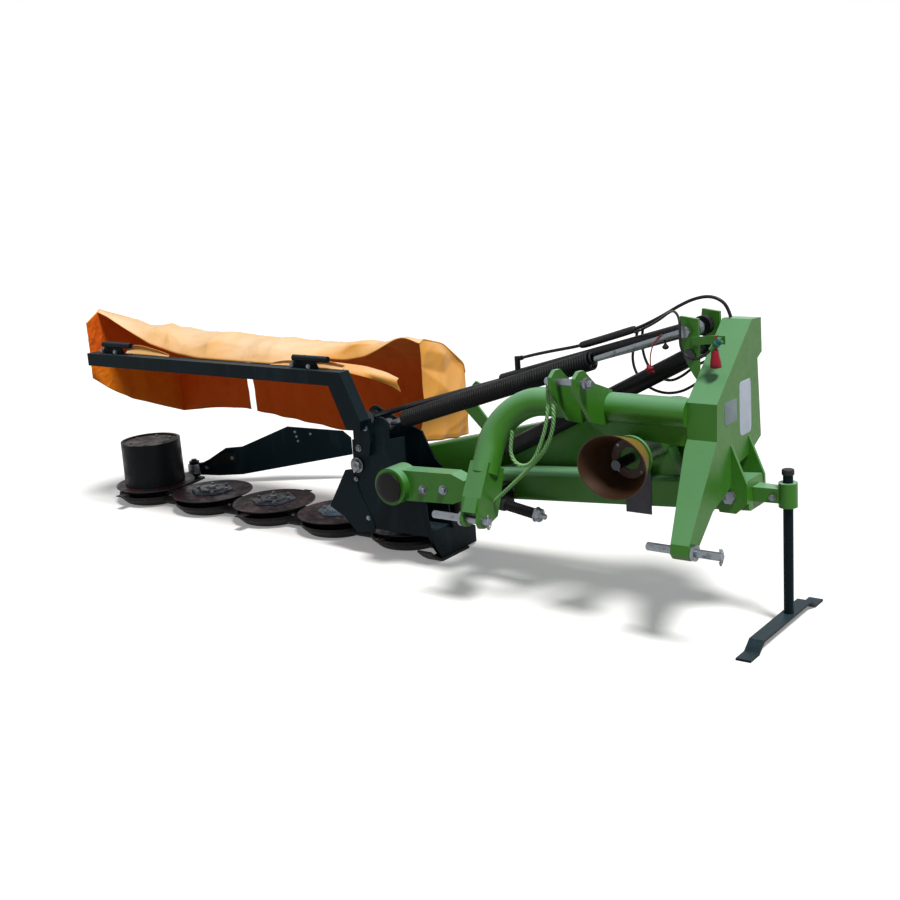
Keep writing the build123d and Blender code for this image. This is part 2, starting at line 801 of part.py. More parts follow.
# Bevel gearbox behind the belt guard, over the first disc
hub_top_z = disc_under_z + 18
gearbox_front_y = guard_front_y + guard_depth + move_gap
with BuildPart() as gearbox:
    with BuildSketch(level(foot_front_z + foot_plate_z)):
        with Locations((-1010, disc_y + 60)):
            RectangleRounded(250, 150, 24)
    extrude(amount=175)
    with BuildSketch(across(gearbox_front_y)):
        with Locations((hinge_x, hinge_z)):
            Circle(62)
    extrude(amount=-(disc_y + 90 - gearbox_front_y))
    with BuildSketch(level(hub_top_z + move_gap)):
        with Locations((first_disc_x, disc_y)):
            Circle(gearbox_neck_r)
    extrude(amount=foot_front_z + 50 - hub_top_z)
save(gearbox, "gearbox")

# Cutterbar housing, with a rounded front
bar_outer_x = last_disc_x - 120
boss_height = 4
bar_front_y = disc_y - bar_width / 2
bar_back_y = disc_y + bar_width / 2
disc_places = [(first_disc_x - index * disc_pitch, disc_y) for index in range(disc_count)]
with BuildPart() as cutterbar:
    with BuildSketch(along(bar_outer_x)):
        with BuildLine():
            Polyline((bar_front_y + 18, bar_bottom_z), (bar_front_y, bar_bottom_z + 16),
                     (bar_front_y, bar_top_z - 18), (bar_front_y + 22, bar_top_z),
                     (bar_back_y - 16, bar_top_z), (bar_back_y, bar_top_z - 14),
                     (bar_back_y, bar_bottom_z + 12), (bar_back_y - 14, bar_bottom_z), close=True)
        make_face()
    extrude(amount=bar_inner_x - bar_outer_x)
    with BuildSketch(level(bar_top_z)):
        with Locations(*disc_places):
            Circle(60)
    extrude(amount=boss_height)
save(cutterbar, "cutterbar")

# Rock guards: half rings round the front of the discs, each with a skid plate under the bar
guard_section = [
    (60, 0), (128, 0), (150, 8), (180, 38), (180, 52), (172, 52), (172, 41), (147, 15), (127, 7), (60, 7),
]
skid_rear_y = 640
with BuildPart() as skid_shoes:
    for disc_x, row_y in disc_places:
        with BuildSketch(along(disc_x)):
            with BuildLine():
                Polyline([(row_y - reach, z) for reach, z in guard_section], close=True)
            make_face()
        axis = Axis(point(disc_x, row_y, 0), (0, 0, 1))
        revolve(axis=axis, revolution_arc=90)
        with BuildSketch(along(disc_x)):
            with BuildLine():
                Polyline([(row_y - reach, z) for reach, z in guard_section], close=True)
            make_face()
        revolve(axis=axis, revolution_arc=-90)
        with BuildSketch(level(0)):
            with Locations((disc_x, (bar_front_y + 18 + skid_rear_y) / 2)):
                Rectangle(200, skid_rear_y - bar_front_y - 18)
        extrude(amount=bar_bottom_z)
    add(cutterbar.part, mode=Mode.SUBTRACT)
save(skid_shoes, "skid_shoes")

# Discs: a domed plate with a raised hub and two swinging blades, set square to each other.
# The last one carries the swath drum.
hub_bottom_z = bar_top_z + boss_height + face_gap
rim_thick = 4
disc_profile = [
    (0, hub_bottom_z), (44, hub_bottom_z), (44, disc_under_z), (disc_r, disc_under_z),
    (disc_r, disc_under_z + rim_thick), (150, disc_under_z + 6), (78, disc_under_z + 8), (58, hub_top_z),
    (0, hub_top_z),
]
drum_profile = [
    (drum_r, disc_under_z + 5), (drum_r - 2, drum_top_z), (drum_r - 16, drum_top_z),
    (drum_r - 16, drum_top_z - 6), (0, drum_top_z - 6), (0, drum_top_z - 12),
    (drum_r - 9, drum_top_z - 12), (drum_r - 7, disc_under_z + 5),
]
blade_width = 44
blade_root = 150
blade_thick = 4
blade_drop = 8
blade_bolt_r = 14
blade_span = blade_reach - blade_root
for index, (disc_x, row_y) in enumerate(disc_places):
    turn = 90 if index % 2 == 0 else 0
    spin_axis = Axis(point(disc_x, row_y, 0), (0, 0, 1))
    radial = Plane(origin=point(disc_x, row_y, 0), x_dir=(1, 0, 0), z_dir=(0, -1, 0))
    with BuildPart() as disc:
        with BuildSketch(radial):
            with BuildLine():
                Polyline(disc_profile, close=True)
            make_face()
        revolve(axis=spin_axis)
        if index == disc_count - 1:
            with BuildSketch(radial):
                with BuildLine():
                    Polyline(drum_profile, close=True)
                make_face()
            revolve(axis=spin_axis)
            with BuildSketch(level(disc_under_z - 1)):
                with Locations((disc_x, row_y)):
                    with PolarLocations(112, 6):
                        Circle(10)
            extrude(amount=12, mode=Mode.SUBTRACT)
        with BuildSketch(level(disc_under_z - blade_drop - blade_thick)):
            with Locations((disc_x, row_y)):
                with PolarLocations(blade_root + blade_span / 2, 2, start_angle=turn):
                    Rectangle(blade_span, blade_width)
        extrude(amount=blade_thick)
        with BuildSketch(level(disc_under_z - blade_drop)):
            with Locations((disc_x, row_y)):
                with PolarLocations(blade_root + 18, 2, start_angle=turn):
                    Circle(blade_bolt_r)
        extrude(amount=blade_drop)
    save(disc, f"disc_{index + 1}")

# Guard sheet before the first disc, bolted to the bracket's front plate
guard_sheet = 4
guard_outline = [
    (-1281, 363), (-1242, 371), (-1205, 250), (-1148, 141), (-1145, 110), (-1245, 98), (-1310, 160),
    (-1384, 195),
]
with BuildPart() as inner_guard:
    with BuildSketch(across(plate_front_y)):
        with BuildLine():
            Polyline(guard_outline, close=True)
        make_face()
    extrude(amount=guard_sheet)
save(inner_guard, "inner_guard")

# Skirt frame: front tube and the arm down to the bracket
arm_foot = (-1150, 575)
with BuildPart() as skirt_frame:
    with BuildSketch(along(skirt_outer_x)):
        with Locations((skirt_y, skirt_z)):
            Rectangle(skirt_tube, skirt_tube)
            Rectangle(skirt_tube - 8, skirt_tube - 8, mode=Mode.SUBTRACT)
    extrude(amount=skirt_inner_x - skirt_outer_x)
    with BuildSketch(across(skirt_y + skirt_tube / 2)):
        with BuildLine():
            Polyline((skirt_inner_x - 66, skirt_z + skirt_tube / 2), (skirt_inner_x, skirt_z + skirt_tube / 2),
                     (arm_foot[0] + 26, arm_foot[1] + 20), (arm_foot[0] + 20, arm_foot[1] - 20),
                     (arm_foot[0] - 52, arm_foot[1] - 20), (skirt_inner_x - 66, skirt_z - skirt_tube / 2),
                     close=True)
        make_face()
    extrude(amount=skirt_tube)
    with BuildSketch(across(plate_front_y)):
        with BuildLine():
            Polyline((arm_foot[0] - 54, arm_foot[1] + 21), (arm_foot[0] + 30, arm_foot[1] + 21),
                     (arm_foot[0] + 34, arm_foot[1] - 75), (arm_foot[0] + 20, arm_foot[1] - 135),
                     (arm_foot[0] - 54, arm_foot[1] - 135), close=True)
        make_face()
    extrude(amount=plate_front_y - skirt_y - skirt_tube / 2 + 16)
save(skirt_frame, "skirt_frame")

# Clamps that hold the cross tubes of the canopy's frame
skirt_top_z = skirt_z + skirt_tube / 2
clamp_table = (-2620, -1420)
clamp_plate = 10
clamp_tube_r = 13
clamp_tube_length = 190
with BuildPart() as skirt_clamps:
    for x in clamp_table:
        with BuildSketch(across(skirt_y + clamp_plate + 6)):
            with BuildLine():
                Polyline((x - 90, skirt_top_z), (x + 60, skirt_top_z), (x + 44, skirt_top_z + 30),
                         (x - 10, skirt_top_z + 54), (x - 50, skirt_top_z + 50), close=True)
            make_face()
        extrude(amount=clamp_plate)
        with BuildSketch(along(x - 60)):
            with Locations((skirt_y - 4, skirt_top_z + 31 + clamp_tube_r)):
                Circle(clamp_tube_r)
        extrude(amount=clamp_tube_length)
save(skirt_clamps, "skirt_clamps")

# Canopy: cloth over the discs, its front hem on the frame's tube and its peak at the outer end
station_table = [
    # x, front corner y, front corner z, ridge y, ridge z, lower edge z of the rear curtain
    (canopy_outer_x, 302, 921, 400, 966, 380),
    (-2636, 318, 868, 440, 921, 410),
    (-2400, 326, 850, 440, 907, 428),
    (-1740, 330, 838, 440, 877, 368),
    (-1400, 330, 836, 440, 866, 385),
    (canopy_inner_x, 330, 836, 530, 885, 417),
]
hem_y = skirt_y + 18
hem_z = skirt_z + skirt_tube / 2 + face_gap
shoulder = (778, 772)
rear_top_z = 721
roof_run = 190
roof_crown = 18


def canopy_line(corner_y, corner_z, ridge_y, ridge_z, low_z, inset):
    """Corners of the cloth's cross-section from the front hem back and down, set in by its thickness."""
    return [
        (hem_y + inset, hem_z), (corner_y + inset, corner_z - inset), (ridge_y, ridge_z - inset),
        (ridge_y + roof_run, (ridge_z + shoulder[1]) / 2 + roof_crown - inset),
        (shoulder[0] - inset / 2, shoulder[1] - inset), (canopy_rear_y - inset, rear_top_z),
        (canopy_rear_y - inset, low_z),
    ]


outer_line = canopy_line(*station_table[0][1:], 0)
inner_line = canopy_line(*station_table[-1][1:], 0)
notch_front_y = 312
notch_step_y = 450
notch_rear_y = 530
notch_outer_x = -1350
notch_step_x = -1195
notch_edge_x = skirt_inner_x - 7
notch_bottom_z = 600
slit_outline = [(-2345, 300), (-2294, 300), (-2306, 690), (-2350, 690)]
curtain_table = [
    # plane x, corners of the end curtain
    (canopy_outer_x - cloth, outer_line + [(519, 511), (382, 592), (hem_y - 12, 673)]),
    (canopy_inner_x, inner_line[2:] + [(745, 417), (576, 440), (notch_rear_y, 470)]),
]
with BuildPart() as canopy:
    for near_station, far_station in zip(station_table, station_table[1:]):
        for x, *section in (near_station, far_station):
            with BuildSketch(along(x)):
                with BuildLine():
                    Polyline(canopy_line(*section, 0) + canopy_line(*section, cloth)[::-1], close=True)
                make_face()
        loft(ruled=True)
    with BuildSketch(level(notch_bottom_z)):
        with BuildLine():
            Polyline((notch_edge_x, 200), (canopy_inner_x + 130, 200), (canopy_inner_x + 130, notch_rear_y),
                     (notch_step_x, notch_rear_y), (notch_step_x, notch_step_y), (notch_outer_x, notch_step_y),
                     (notch_outer_x, notch_front_y), (notch_edge_x, notch_front_y), close=True)
        make_face()
    extrude(amount=400, mode=Mode.SUBTRACT)
    with BuildSketch(across(canopy_rear_y + 20)):
        with BuildLine():
            Polyline(slit_outline, close=True)
        make_face()
    extrude(amount=60, mode=Mode.SUBTRACT)
    for x, corners in curtain_table:
        with BuildSketch(along(x)):
            with BuildLine():
                Polyline(corners, close=True)
            make_face()
        extrude(amount=cloth)
save(canopy, "canopy")

# Swath board on its sprung bracket at the bar's outer end
board_plane = Plane(
    origin=point(board_pivot[0], board_pivot[1], 0),
    x_dir=(math.cos(math.radians(board_angle)), math.sin(math.radians(board_angle)), 0),
    z_dir=(math.sin(math.radians(board_angle)), -math.cos(math.radians(board_angle)), 0),
)
with BuildPart() as board_bracket:
    with BuildSketch(level(bar_bottom_z + 12)):
        with BuildLine():
            Polyline((board_pivot[0] - 30, 590), (board_pivot[0] + 90, 590),
                     (board_pivot[0] + 40, board_pivot[1] + 24), (board_pivot[0] - 40, board_pivot[1] + 24),
                     close=True)
        make_face()
    extrude(amount=12)
    with BuildSketch(level(bar_bottom_z + 24)):
        with Locations(board_pivot):
            Circle(14)
    extrude(amount=94)
    add(cutterbar.part, mode=Mode.SUBTRACT)
save(board_bracket, "board_bracket")

with BuildPart() as swath_board:
    with BuildSketch(board_plane):
        with BuildLine():
            Polyline((0, 46), (130, 40), (260, 44), (board_length, 140), (board_length, 226),
                     (board_length - 40, 262), (520, 290), (270, 190), (180, 184), (60, 112),
                     (0, 104), close=True)
        make_face()
    extrude(amount=board_sheet / 2, both=True)
    with BuildSketch(level(42)):
        with Locations(board_pivot):
            Circle(26)
    extrude(amount=76)
    with BuildSketch(level(40)):
        with Locations(board_pivot):
            Circle(14 + slip)
    extrude(amount=90, mode=Mode.SUBTRACT)
save(swath_board, "swath_board")

# Strap bolted to the board's front face, from its pivot
strap_thick = 8
with BuildPart() as board_arm:
    with BuildSketch(board_plane.offset(board_sheet / 2)):
        with BuildLine():
            Polyline((34, 66), (150, 104), (236, 110), (236, 158), (140, 152), (34, 104), close=True)
        make_face()
    extrude(amount=strap_thick)
save(board_arm, "board_arm")

# Break-back latch on the beam's front face: lug, sprung rod and nut
latch_y = 240
latch_plane, latch_length = rod_between(latch_y, (-466, 336), (-266, 305), 0, 0)
with BuildPart() as breakback_latch:
    with BuildSketch(across(beam_front_y)):
        with BuildLine():
            Polyline((-488, 402), (-450, 402), (-444, 316), (-488, 316), close=True)
        make_face()
    extrude(amount=beam_front_y - latch_y + 18)
    with BuildSketch(latch_plane):
        Circle(8)
    extrude(amount=latch_length)
    with BuildSketch(latch_plane.offset(18)):
        Circle(18)
    extrude(amount=latch_length - 60)
    with BuildSketch(latch_plane.offset(latch_length - 34)):
        RegularPolygon(15, 6)
    extrude(amount=16)
save(breakback_latch, "breakback_latch")

# Coupler of the short hose, on its holder beside the front ear
coupler_start = (402, 258, 957)
coupler_turn = (30, 8, 31)
coupler_plane = Plane(origin=point(*coupler_start), z_dir=coupler_turn).offset(face_gap)
with BuildPart() as coupler_holder:
    with BuildSketch(coupler_plane):
        Circle(9)
    extrude(amount=22)
    with BuildSketch(coupler_plane.offset(22)):
        Circle(12)
    extrude(amount=26)
    with BuildSketch(across(ear_front_y)):
        with BuildLine():
            Polyline((318, 962), (318, 990), (396, 1000), (440, 1000), (440, 972), (396, 972), close=True)
        make_face()
    extrude(amount=4)
    with BuildSketch(across(ear_front_y)):
        with Locations((424, 986)):
            Rectangle(14, 18)
    extrude(amount=ear_front_y - coupler_start[1] - 8)
save(coupler_holder, "coupler_holder")

# Hoses and ropes, each from where it leaves its fitting
elbow_end = elbow_plane.origin + elbow_plane.z_dir * (elbow_length + face_gap)
cord_table = [
    # label, radius, route
    ("hose_long", 6, [
        (elbow_end.X - hitch_x, fold_y, elbow_end.Z), (-395, fold_y, 872), (-300, fold_y, 893),
        (-200, fold_y, 913), (-108, fold_y, 940), (-25, fold_y, 966), (56, fold_y, 992),
        (140, 430, 1034), (196, 440, 1068), (248, 452, 1093), (300, 463, 1103), (340, 472, 1090),
        (364, 478, 1062), (372, 481, 1028.5),
    ]),
    ("hose_coupler", 4.5, [
        (44, 402, 976), (100, 392, 1000), (158, 372, 1030), (212, 336, 1062), (256, 294, 1078),
        (288, 266, 1058), (296, 254, 1014), (296, 250, 960), (326, 248, 926), (372, 250, 926),
        coupler_start,
    ]),
    ("hose_loop_outer", 5, [
        (38, 438, 984), (20, 454, 950), (4, 460, 908), (-2, 460, 868), (8, 459, 826), (36, 458, 788),
        (80, 456, 761), (136, 454, 752), (196, 452, 764), (246, 450, 792), (292, 446, 826),
        (mast_inner_x - 2.9, 443, 856),
    ]),
    ("hose_loop_inner", 5, [
        (58, 438, 990), (42, 455, 952), (40, 460, 908), (50, 460, 868), (72, 459, 832), (108, 457, 806),
        (152, 455, 798), (196, 453, 818), (238, 450, 850), (286, 446, 878),
        (mast_inner_x - 2.2, 443, 900),
    ]),
    ("green_rope", 6, [
        (-76, top_link_y, 854), (-76, 24, 812), (-62, 18, 770), (-71, 20, 702), (-110, 28, 626),
        (-187, 40, 551), (-290, 60, 465), (bent_leg_x + fork_gap / 2 + fork_plate + 4.3, 75, 398),
    ]),
    ("rope_tail", 5.5, [
        (-91, top_link_y, 852.8), (-84, 16, 812), (-78, 4, 770), (-92, 2, 702), (-118, 2, 640),
        (-142, 2, 594), (-178, 2, 566), (-220, 2, 572), (-240, 2, 610), (-232, 2, 655), (-226, 2, 690),
    ]),
]
for label, radius, route in cord_table:
    flexible(label, radius, route)

print("links", round(fold_length, 1), round(spring_span, 1), round(strut_length, 1))
print("hitch", hitch_x, hitch_y)
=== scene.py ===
"""Disc mower parked on its stand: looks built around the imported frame."""

import json
import math

import bpy
import numpy as np
from mathutils import Matrix, Vector


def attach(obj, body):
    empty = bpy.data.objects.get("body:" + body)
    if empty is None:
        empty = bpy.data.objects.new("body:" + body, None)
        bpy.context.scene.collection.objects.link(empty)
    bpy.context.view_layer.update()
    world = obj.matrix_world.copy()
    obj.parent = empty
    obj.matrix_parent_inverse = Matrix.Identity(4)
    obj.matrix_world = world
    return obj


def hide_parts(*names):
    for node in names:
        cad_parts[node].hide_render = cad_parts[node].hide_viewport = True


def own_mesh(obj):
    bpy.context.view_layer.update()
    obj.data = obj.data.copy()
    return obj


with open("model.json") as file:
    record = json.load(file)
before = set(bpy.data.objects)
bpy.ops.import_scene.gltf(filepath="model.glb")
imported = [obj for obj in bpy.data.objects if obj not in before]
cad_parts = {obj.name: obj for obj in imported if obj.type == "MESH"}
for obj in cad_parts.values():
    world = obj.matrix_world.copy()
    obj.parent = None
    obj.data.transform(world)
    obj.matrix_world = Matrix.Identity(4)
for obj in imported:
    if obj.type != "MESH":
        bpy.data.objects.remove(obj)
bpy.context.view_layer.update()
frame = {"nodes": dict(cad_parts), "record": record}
NODES = frame["nodes"]
RECORD = frame["record"]

# Places are written from the hitch in millimetres: X to the machine's left from the middle of
# the lower hitch pins, Y rearwards from those pins, Z up from the floor.
HITCH = np.array([1151.2, -583.238, 0.0])
MAST_PIN = np.array([300.0, 0.0, 1010.0])
SPRING_END = np.array([-1074.0, 0.0, 563.0])
SPRING_Y = 350.0
THREAD_LENGTH = 410.0
HOOK_LENGTH = 85.0
SPRING_RADIUS = 36.0
SPRING_WIRE = 5.4  # its radius
SPRING_PITCH = 11.4
DISC_PITCH = 405.6
FIRST_DISC = np.array([-1140.0, 540.0, 0.0])
DISC_COUNT = 5
BEAM_SLOPE = math.radians(4.27)
BOARD_PIVOT = np.array([-2790.0, 830.0, 0.0])
BOARD_ANGLE = math.radians(25.0)
LATCH_WAY = np.array([200.0, 0.0, -31.0])
FRONT, BACK, UP = (0, -1, 0), (0, 1, 0), (0, 0, 1)
# Where a disc's finish changes, in metres from its centre and up from the floor
HUB_EDGE, WORN_RIM, LID_EDGE = (0.060, 0.064), (0.176, 0.190), (0.129, 0.1305)
BLADE_TOP, WALL_FOOT, LID_TOP = (0.0812, 0.0816), (0.0905, 0.0912), (0.2965, 0.2972)
# The weave's pitch, and the heights between which daylight starts to show, in metres
WEAVE_PITCH = 0.0028
GLOW_RISE = (0.66, 0.80)


def place(points):
    """Points from the hitch, in millimetres, as points of the row frame in metres."""
    return (np.asarray(points, float) + HITCH) / 1000.0


def disc_centre(index):
    return FIRST_DISC - [DISC_PITCH * index, 0, 0]


# Materials


def fill(nt, node, values):
    """Sets inputs of a node: a value is a number, a tuple or an output to link from."""
    for key, value in values.items():
        if isinstance(value, bpy.types.NodeSocket):
            nt.links.new(value, node.inputs[key])
        else:
            node.inputs[key].default_value = value
    return node


def add_node(nt, kind, values, **settings):
    node = nt.nodes.new(kind)
    for key, value in settings.items():
        setattr(node, key, value)
    return fill(nt, node, values)


def new_material(name):
    mat = bpy.data.materials.new(name)
    mat.use_nodes = True
    return mat, mat.node_tree, mat.node_tree.nodes["Principled BSDF"]


def object_coords(nt):
    return nt.nodes.new("ShaderNodeTexCoord").outputs["Object"]


def noise(nt, scale, detail=4.0, rough=0.6, stretch=None):
    """Fractal noise of the surface point; stretch scales the point along each axis first."""
    point = object_coords(nt)
    if stretch is not None:
        mapping = add_node(nt, "ShaderNodeMapping", {"Vector": point, "Scale": stretch})
        point = mapping.outputs["Vector"]
    values = {"Vector": point, "Scale": scale, "Detail": detail, "Roughness": rough}
    return add_node(nt, "ShaderNodeTexNoise", values).outputs["Fac"]


def between(nt, value, low, high, to_low=0.0, to_high=1.0):
    """Maps value from low..high to to_low..to_high, held at both ends."""
    values = {"Value": value, "From Min": low, "From Max": high, "To Min": to_low,
              "To Max": to_high}
    return add_node(nt, "ShaderNodeMapRange", values).outputs["Result"]


def times(nt, a, b):
    return add_node(nt, "ShaderNodeMath", {0: a, 1: b}, operation="MULTIPLY").outputs[0]


def blend_colour(nt, factor, a, b):
    a, b = ((*c, 1.0) if isinstance(c, tuple) else c for c in (a, b))
    return add_node(nt, "ShaderNodeMix", {0: factor, 6: a, 7: b}, data_type="RGBA").outputs[2]


def split_xyz(nt, vector):
    return add_node(nt, "ShaderNodeSeparateXYZ", {0: vector}).outputs


def surface_normal(nt):
    return split_xyz(nt, nt.nodes.new("ShaderNodeNewGeometry").outputs["Normal"])


def facing_up(nt):
    """How far the surface faces the sky, from -1 to 1."""
    return surface_normal(nt)["Z"]


def add_bump(nt, bsdf, height, distance, strength=0.6):
    values = {"Height": height, "Distance": distance, "Strength": strength}
    fill(nt, bsdf, {"Normal": add_node(nt, "ShaderNodeBump", values).outputs["Normal"]})


def painted(name, colour, shade, chip, dust_and_top_light, roughness, dust_and_light_share, chips, gloss, coat=0.0, even=0.0):
    """Paint: slow tone changes, scuffs and small chips by noise, and a paler tint on faces that
    look up, a speckled dusting and a painted sky highlight where laid smooth; even is the least
    share of that tint, so that 1 lays it without speckles."""
    mat, nt, bsdf = new_material(name)
    tone = between(nt, noise(nt, 2.6, 3.0), 0.35, 0.7)
    base = blend_colour(nt, tone, colour, shade)
    fine = noise(nt, 46.0, 8.0, 0.7)
    # Faces that look up get a paler tint: speckled where even is 0, a smooth painted sky highlight
    # where even is near 1.
    lying = times(nt, between(nt, facing_up(nt), 0.25, 0.95), dust_and_light_share)
    base = blend_colour(nt, times(nt, lying, between(nt, fine, 0.3, 0.65, even)), base, dust_and_top_light)
    streak = noise(nt, 9.0, 6.0, 0.65, (1.0, 1.0, 0.22))
    streaked = times(nt, between(nt, streak, 0.56, 0.80), 0.35 - 0.25 * even)
    base = blend_colour(nt, streaked, base, dust_and_top_light)
    chipped = between(nt, noise(nt, 74.0, 5.0, 0.62), chips, chips + 0.03)
    rough = between(nt, fine, 0.3, 0.75, roughness - 0.08, roughness + 0.16)
    fill(nt, bsdf, {"Base Color": blend_colour(nt, chipped, base, chip), "Roughness": rough,
                    "Specular IOR Level": gloss, "Coat Weight": coat, "Coat Roughness": 0.22})
    add_bump(nt, bsdf, noise(nt, 150.0, 4.0), 0.0006)
    return mat


def bare_metal(name, colour, stain, roughness, stained):
    """Plated or worn steel: metallic, with blotches of stain and a fine brushed bump."""
    mat, nt, bsdf = new_material(name)
    blotch = between(nt, noise(nt, 34.0, 6.0, 0.68), stained, stained + 0.16)
    fill(nt, bsdf, {"Base Color": blend_colour(nt, blotch, colour, stain),
                    "Metallic": between(nt, blotch, 0.0, 1.0, 0.92, 0.25),
                    "Roughness": between(nt, blotch, 0.0, 1.0, roughness, 0.7)})
    add_bump(nt, bsdf, noise(nt, 260.0, 3.0), 0.0004, 0.4)
    return mat


def rubbery(name, colour, dust_and_top_light, roughness=0.55, dust_and_light_share=0.35):
    """Rubber or moulded plastic: matt, with dust on top and a fine grain."""
    mat, nt, bsdf = new_material(name)
    lying = times(nt, between(nt, facing_up(nt), 0.2, 1.0), dust_and_light_share)
    patchy = between(nt, noise(nt, 22.0, 6.0, 0.65), 0.35, 0.7)
    rough = between(nt, patchy, 0.0, 1.0, roughness - 0.1, roughness + 0.15)
    fill(nt, bsdf, {"Base Color": blend_colour(nt, times(nt, lying, patchy), colour, dust_and_top_light),
                    "Roughness": rough, "Specular IOR Level": 0.22})
    add_bump(nt, bsdf, noise(nt, 320.0, 3.0), 0.0005)
    return mat


def woven(name, colour, lit_and_bleached, stain, sheen, glow=None):
    """Coated canvas: a basket weave bump from the cloth's own UV, paler where it faces the sky,
    which is painted light with some sun-bleaching, and fading and stains by noise. glow is the tone
    of daylight shining through its top, painted by height."""
    mat, nt, bsdf = new_material(name)
    # Painted light: faces that look up turn paler, with some sun-bleaching.
    sky_lit_and_faded = between(nt, facing_up(nt), 0.15, 0.95, 0.0, 0.9)
    patches = between(nt, noise(nt, 3.1, 6.0, 0.62), 0.30, 0.62, 0.55, 1.0)
    base = blend_colour(nt, times(nt, sky_lit_and_faded, patches), colour, lit_and_bleached)
    if glow is not None:
        height = split_xyz(nt, object_coords(nt))["Z"]
        base = blend_colour(nt, between(nt, height, *GLOW_RISE), base, glow)
    marks = times(nt, between(nt, noise(nt, 8.0, 8.0, 0.72), 0.55, 0.76), 0.55)
    fill(nt, bsdf, {"Base Color": blend_colour(nt, marks, base, stain), "Roughness": 0.62,
                    "Specular IOR Level": 0.15, "Sheen Weight": sheen, "Sheen Roughness": 0.4})
    uv = split_xyz(nt, nt.nodes.new("ShaderNodeUVMap").outputs[0])
    angles = [times(nt, uv[axis], 2 * math.pi / WEAVE_PITCH) for axis in ("X", "Y")]
    waves = [add_node(nt, "ShaderNodeMath", {0: angle}, operation="SINE").outputs[0]
             for angle in angles]
    add_bump(nt, bsdf, times(nt, *waves), 0.0005, 0.5)
    return mat


def disc_finish(name, centre, drum):
    """Disc: red-brown dirty plate, blue-grey hub, darker below the blades' top, and a black drum.
    """
    mat, nt, bsdf = new_material(name)
    values = {0: object_coords(nt), 1: centre}
    shift = add_node(nt, "ShaderNodeVectorMath", values, operation="SUBTRACT")
    spot = split_xyz(nt, shift.outputs[0])
    flat = add_node(nt, "ShaderNodeCombineXYZ", {"X": spot["X"], "Y": spot["Y"]})
    reach = add_node(nt, "ShaderNodeVectorMath", {0: flat.outputs[0]}, operation="LENGTH")
    radius, height = reach.outputs["Value"], spot["Z"]
    dirt = between(nt, noise(nt, 17.0, 9.0, 0.74), 0.40, 0.60)
    plate = blend_colour(nt, dirt, (0.046, 0.012, 0.016), (0.007, 0.013, 0.018))
    grey = blend_colour(nt, dirt, (0.10, 0.15, 0.20), (0.030, 0.038, 0.048))
    base = blend_colour(nt, between(nt, radius, *HUB_EDGE), grey, plate)
    worn_rim = times(nt, between(nt, radius, *WORN_RIM), 0.8)
    base = blend_colour(nt, worn_rim, base, (0.040, 0.040, 0.044))
    below = between(nt, height, *BLADE_TOP, 1.0, 0.0)
    base = blend_colour(nt, below, base, (0.020, 0.017, 0.017))
    if drum:
        black = blend_colour(nt, dirt, (0.0030, 0.0048, 0.0062), (0.006, 0.0075, 0.0085))
        base = blend_colour(nt, between(nt, height, *WALL_FOOT), base, black)
        lid = times(nt, between(nt, height, *LID_TOP), between(nt, radius, *LID_EDGE, 1.0, 0.0))
        rust = blend_colour(nt, dirt, (0.085, 0.028, 0.030), (0.070, 0.080, 0.085))
        base = blend_colour(nt, lid, base, rust)
    rough = between(nt, dirt, 0.0, 1.0, 0.30, 0.62)
    fill(nt, bsdf, {"Base Color": base, "Roughness": rough, "Specular IOR Level": 0.08})
    add_bump(nt, bsdf, noise(nt, 120.0, 6.0), 0.0012)
    return mat


FINISH = {
    # Green paint: the pale blue-green laid smooth on faces that look up is a painted sky highlight.
    "green_paint": painted(
        "green_paint", (0.046, 0.190, 0.018), (0.034, 0.150, 0.012), (0.10, 0.09, 0.06),
        (0.26, 0.52, 0.34), roughness=0.34, dust_and_light_share=0.55, chips=0.77, gloss=0.22, coat=0.04,
        even=0.92),
    "dark_paint": painted(
        "dark_paint", (0.0032, 0.010, 0.014), (0.0024, 0.0065, 0.009), (0.05, 0.042, 0.035),
        (0.060, 0.098, 0.122), roughness=0.42, dust_and_light_share=0.45, chips=0.74, gloss=0.06, even=0.5),
    "black_paint": painted(
        "black_paint", (0.0035, 0.004, 0.005), (0.006, 0.0055, 0.0055), (0.06, 0.045, 0.035),
        (0.060, 0.064, 0.070), roughness=0.40, dust_and_light_share=0.30, chips=0.73, gloss=0.12),
    "zinc": bare_metal("zinc", (0.20, 0.22, 0.25), (0.10, 0.09, 0.08), 0.40, 0.52),
    "black_rubber": rubbery("black_rubber", (0.009, 0.009, 0.010), (0.07, 0.065, 0.06)),
    "black_hose": rubbery("black_hose", (0.006, 0.006, 0.007), (0.05, 0.045, 0.04), 0.38, 0.2),
    "grey_flap": rubbery("grey_flap", (0.072, 0.070, 0.088), (0.13, 0.125, 0.13)),
    # Its cream tone on faces that look up is painted light with some sun-bleaching.
    "orange_cloth": woven("orange_cloth", (0.93, 0.43, 0.080), (0.93, 0.70, 0.46),
                          (0.72, 0.31, 0.07), 0.2),
    "green_rope": rubbery("green_rope", (0.19, 0.42, 0.15), (0.50, 0.66, 0.42), 0.7, 0.9),
}
